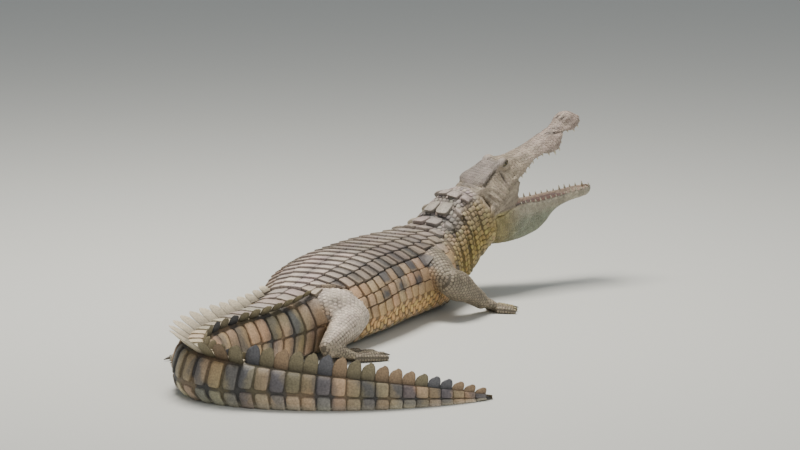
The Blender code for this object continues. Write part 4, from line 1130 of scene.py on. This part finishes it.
def sleeve(grid, size, start, margin, spans, sway):
    """Rows of beds along a limb from a start to a margin before its end, on spans of its columns."""
    walked = walk(grid.mean(axis=1))
    rings = np.interp(np.arange(start, walked[-1] - margin, size), walked, np.arange(len(grid)))
    return [lay_row(grid, ring, low, high, size, size, sway * stagger(i), "limb")
            for i, ring in enumerate(rings) for low, high in spans]


batches = []
for number, grid in enumerate(limb_lofts):
    ISLAND["limb"] = (0.01 + 0.08 * number, 0.62, 0.085 + 0.08 * number, 0.80)
    size = LIMB_SCALES[number % 3]
    rows = sleeve(grid, size, size * 0.35, size * 0.2, [(0, grid.shape[1] - 0.01)], 1)
    batches.append(grow(rows, size * 0.09, gap=0.0008, points=8, square=3, sink=0.002, wild=0.16,
                        cover=0.004, vary=0.14, painted_wall_shade=(0.6, 0.85)))
for number, grid in enumerate(toe_lofts):
    ISLAND["limb"] = (0.01 + 0.054 * number, 0.82, 0.06 + 0.054 * number, 0.90)
    rows = sleeve(grid, TOE_SCUTE, 0.008, 0.002, [(0.5, 7.5), (8.5, 15.5)], 0)
    batches.append(grow(rows, 0.0011, gap=0.0009, points=8, square=3, sink=0.0012, wild=0.1, cover=0.003))
coat("limb_scales", *batches)

# ---------------------------------------------------------------------------------------------
# Head scales: small flat uneven cells, the tight cracked skin of skull and jaw.
CELL = 0.0098
OUTER_SKULL = sum(SKULL_COUNTS[:6])
batches = []
for island, grid, distances, low, high, width, wild in (
        ("skull", skull_world, skull_distances, -OUTER_SKULL, OUTER_SKULL, CELL, 0.4),
        ("jaw", jaw_world, jaw_distances, 15, 79, 0.0095, 0.35)):
    rows = []
    for number in range(42):
        ring = NOSE_RINGS + np.interp(0.004 + CELL * number, distances, np.arange(len(distances)))
        rows.append(lay_row(grid, ring, low, high, width, CELL, stagger(number), island))
    batches.append(grow(rows, 0.0005, gap=0.0004, points=9, square=2.8, sink=0.001, wild=wild, cover=0.003,
                        rings=((1, 0.35), (0.84, 0.9)), vary=0.14, hug=True, painted_wall_shade=(0.7, 0.86), wash=0.8))
coat("head_scales", *batches)

# ---------------------------------------------------------------------------------------------
# Teeth: ivory cones of uneven length in sockets along both jaws, curved back and a little inward,
# stained at the gum.
UPPER_TEETH = [(0.01, 0.008), (0.035, 0.011), (0.06, 0.007), (0.085, 0.006), (0.125, 0.014), (0.16, 0.008),
               (0.2, 0.009), (0.23, 0.011), (0.28, 0.007), (0.34, 0.005)]
LOWER_TEETH = [(0.008, 0.012), (0.03, 0.008), (0.072, 0.014), (0.1, 0.007), (0.14, 0.008), (0.19, 0.012),
               (0.25, 0.008), (0.32, 0.006)]
TOOTH_POINTS = 8
TOOTH_LEVELS = np.linspace(-0.3, 1, 8)
IVORY = np.array((0.66, 0.60, 0.45))
ivory = horn_paint("ivory", 300, 0.3, 0.0002)


def tooth_row(name, jaw, length, gum_line, gum_height, heights, number, last):
    """One jaw's teeth on both sides as one piece, upright on the lower jaw and hanging from the skull."""
    turn = 2 * np.pi * np.arange(TOOTH_POINTS) / TOOTH_POINTS
    level = TOOTH_LEVELS[:, None]
    up = np.maximum(level, 0)
    sign = 1 if jaw is jaw_frame else -1
    points, faces = [], []
    for side in (1, -1):
        for i in range(number):
            distance = heights[0][0] + (last - heights[0][0]) * (i / (number - 1)) ** 1.04
            tall = follow(heights, distance) * (1 + 0.12 * (chance.random() - 0.5))
            narrow = (0.0016 + tall * 0.14) * np.maximum(1 - up ** 1.5, 0.03)
            across = side * (follow(gum_line, distance) - 0.0062)
            x = length - distance - 0.16 * tall * up ** 2 + narrow * np.cos(turn)
            y = across + side * tall * (0.16 * up - 0.2 * up ** 2) + narrow * 0.85 * np.sin(turn)
            z = gum_height(distance) + sign * tall * level + 0 * turn
            start = len(points) * x.size
            every = tuple(range(start, start + x.size))
            faces += [every[:TOOTH_POINTS], every[:-TOOTH_POINTS - 1:-1]]
            faces += tube_faces(len(level), TOOTH_POINTS, start)
            points.append(np.stack([x, y, z], -1).reshape(-1, 3))
    made = piece(name, in_frame(jaw, np.concatenate(points)), faces)
    face_out(made)
    stain = np.repeat(0.55 + 0.45 * np.minimum(up * 3, 1), TOOTH_POINTS)
    dress(made, "tooth", ivory, np.tile(stain, len(points))[:, None] * IVORY)


tooth_row("upper_teeth", skull_frame, HEAD_LENGTH, LIP_HALF_WIDTH,
          lambda distance: follow(LIP_HEIGHT, distance), UPPER_TEETH, 16, 0.282)
tooth_row("lower_teeth", jaw_frame, JAW_LENGTH, JAW_HALF_WIDTH,
          lambda distance: follow(JAW_RISE, distance) - 0.0014, LOWER_TEETH, 15, 0.27)

# ---------------------------------------------------------------------------------------------
# Tongue: a flat wet muscle bound to the floor of the mouth all along.
turn = 2 * np.pi * np.arange(28) / 28
tongue_rings = []
for d in np.linspace(0.09, 0.36, 60):
    half = follow(JAW_HALF_WIDTH, d) * 0.5 * (0.45 + 0.55 * ramp(d, 0.09, 0.115))
    base = -0.002 - min(follow(JAW_DEPTH, d) * 0.35, 0.014) - 0.002
    tall = 0.008 + 0.006 * ramp(d, 0.09, 0.13)
    height = base + np.maximum(np.sin(turn), -0.25) * tall * (1 - 0.12 * bell(np.cos(turn), 0, 0.12))
    tongue_rings.append(np.stack([0 * turn + JAW_LENGTH - d, half * np.cos(turn), height], -1))
tongue = shell("mouth_tongue", in_frame(jaw_frame, with_nose(np.array(tongue_rings), 0.008)))
dress(tongue, "tongue", horn_paint("wet_tongue", 240, 0.35, 0.0006),
      np.tile((0.52, 0.33, 0.27), (len(tongue.data.vertices), 1)), "tongue")

# ---------------------------------------------------------------------------------------------
# Eyes: glossy balls with an olive gold iris and an upright slit, deep under thick horny lids.
EYE_RADIUS = 0.0162
EYE_BLACK = 0.006
eye_gloss = horn_paint("eye", 500, 0.08, 0.0)
eye_gloss.node_tree.nodes["Principled BSDF"].inputs["Coat Weight"].default_value = 1.0
lid_skin = horn_paint("lid_skin", 260, 0.6, 0.0008)
tilt = np.linspace(0, math.pi, 60)[1:-1, None]
turn = np.linspace(0, 2 * math.pi, 96, endpoint=False)
across, up = np.sin(tilt) * np.cos(turn), np.sin(tilt) * np.sin(turn)
streak = 0.5 + 0.5 * np.sin(turn * 23 + np.sin(turn * 7) * 2)
rim = ramp(np.hypot(across, up), 0.66, 0.74)[..., None]
iris = np.array((0.13, 0.10, 0.03)) * (0.7 + 0.5 * streak)[:, None] * (1 - rim)
slit = (np.abs(across) < 0.09 * np.sqrt(np.maximum(1 - (up / 0.62) ** 2, 0))) * (np.abs(up) < 0.62)
eye_colours = np.where(slit[..., None], EYE_BLACK, iris + np.array((0.05, 0.04, 0.02)) * rim)
# The inner half of each ball is painted black: painted shade inside the head.
eye_colours = eye_colours * (tilt < math.pi / 2)[..., None]
eye_colours = np.concatenate([eye_colours.reshape(-1, 3), np.full((2, 3), EYE_BLACK)])

# Lids: an almond opening of 46 degrees to each side and 15 to 17 up and down, and sections that swell
# out from its edge, turn back over the ball and end behind it; degrees from the edge, rise and tone,
# which is painted shade, darkest at the opening and underneath
LID_SECTIONS = [(0, 0.0003, 0.2), (-3, 0.0013, 0.25), (5, 0.003, 0.6), (20, 0.0036, 0.85), (45, 0.003, 0.95),
                (72, 0.0022, 0.95), (100, 0.0014, 0.9), (122, -0.004, 0.8), (20, -0.003, 0.4)]
lid_turn = np.linspace(0, 2 * math.pi, 56, endpoint=False)
upper = np.sin(lid_turn) > 0
open_long, open_tall = math.radians(46), np.radians(np.where(upper, 15, 17))
opening = np.abs(np.cos(lid_turn) / open_long) ** 1.6 + np.abs(np.sin(lid_turn) / open_tall) ** 1.6
opening = opening ** (-1 / 1.6)
heavy = np.where(upper, 1.0 + 0.5 * np.sin(lid_turn), 1.0)
painted_lid_shade = np.repeat([tone for extra, depth, tone in LID_SECTIONS], len(lid_turn))
lid_faces = [tuple(corner % len(painted_lid_shade) for corner in face)
             for face in tube_faces(len(LID_SECTIONS) + 1, len(lid_turn))]

for side, word in ((1, "left"), (-1, "right")):
    centre = np.array((EYE_PLACE[0], side * EYE_PLACE[1], EYE_PLACE[2]))
    outward = np.array((0.22, side * 0.93, 0.28))
    outward /= np.linalg.norm(outward)
    forward = np.array((1, -side * 0.24, 0.0))
    forward -= outward * (forward @ outward)
    forward /= np.linalg.norm(forward)
    upward = np.cross(outward, forward) * side * -1
    upward *= np.sign(upward[2])
    ball = centre + EYE_RADIUS * (np.cos(tilt)[..., None] * outward + across[..., None] * forward
                                  + up[..., None] * upward)
    eye = shell(f"eyeball_{word}", in_frame(skull_frame, ball))
    dress(eye, "eye", eye_gloss, eye_colours, f"eye_{word}")
    spoke = np.cos(lid_turn)[:, None] * forward + np.sin(lid_turn)[:, None] * upward
    lid = []
    for extra, depth, tone in LID_SECTIONS:
        angle = (opening + math.radians(extra))[:, None]
        radius = EYE_RADIUS + depth * (heavy[:, None] if depth > 0.0005 else 1)
        lid.append(centre + radius * np.cos(angle) * outward + radius * np.sin(angle) * spoke)
    lid_points = in_frame(skull_frame, np.concatenate(lid))
    lids = piece(f"eyelids_{word}", lid_points, lid_faces)
    face_out(lids)
    dress(lids, "hide", lid_skin, markings(lid_points) * painted_lid_shade[:, None])

# ---------------------------------------------------------------------------------------------
# Claws: dark curved horn on the three inner toes of each foot, blunt from walking.
CLAW_BROWN = np.array((0.10, 0.085, 0.07))
claw_horn = horn_paint("claw_horn", 320, 0.32, 0.0003)
for kind, word, i, tip, turn, radius in toe_ends:
    if i > 2:
        continue
    share = np.linspace(0, 1, 14)
    line = tip + heading_step(turn) * (0.026 * share - 0.006)[:, None]
    line[:, 2] = tip[2] + radius * 0.1 - (tip[2] - 0.0032) * share ** 2
    girth = radius * 0.5 * (1 - 0.82 * share ** 1.3)
    grid = with_nose(limb_grid(line, girth * 0.85, girth * 1.05, 14, round_ends=False)[::-1], 0.0006)[::-1]
    grid[..., 2] = np.maximum(grid[..., 2], 0.0004)
    foot = LIMBS[kind]["foot"]
    claw = shell(f"claw_{foot}_{word}_{i + 1}", grid)
    fade = np.append(np.repeat(np.linspace(1.3, 0.7, len(grid)), grid.shape[1]), (1.3, 0.7))
    dress(claw, "claw", claw_horn, CLAW_BROWN * fade[:, None], f"{foot}_{word}_claw_{i + 1}")
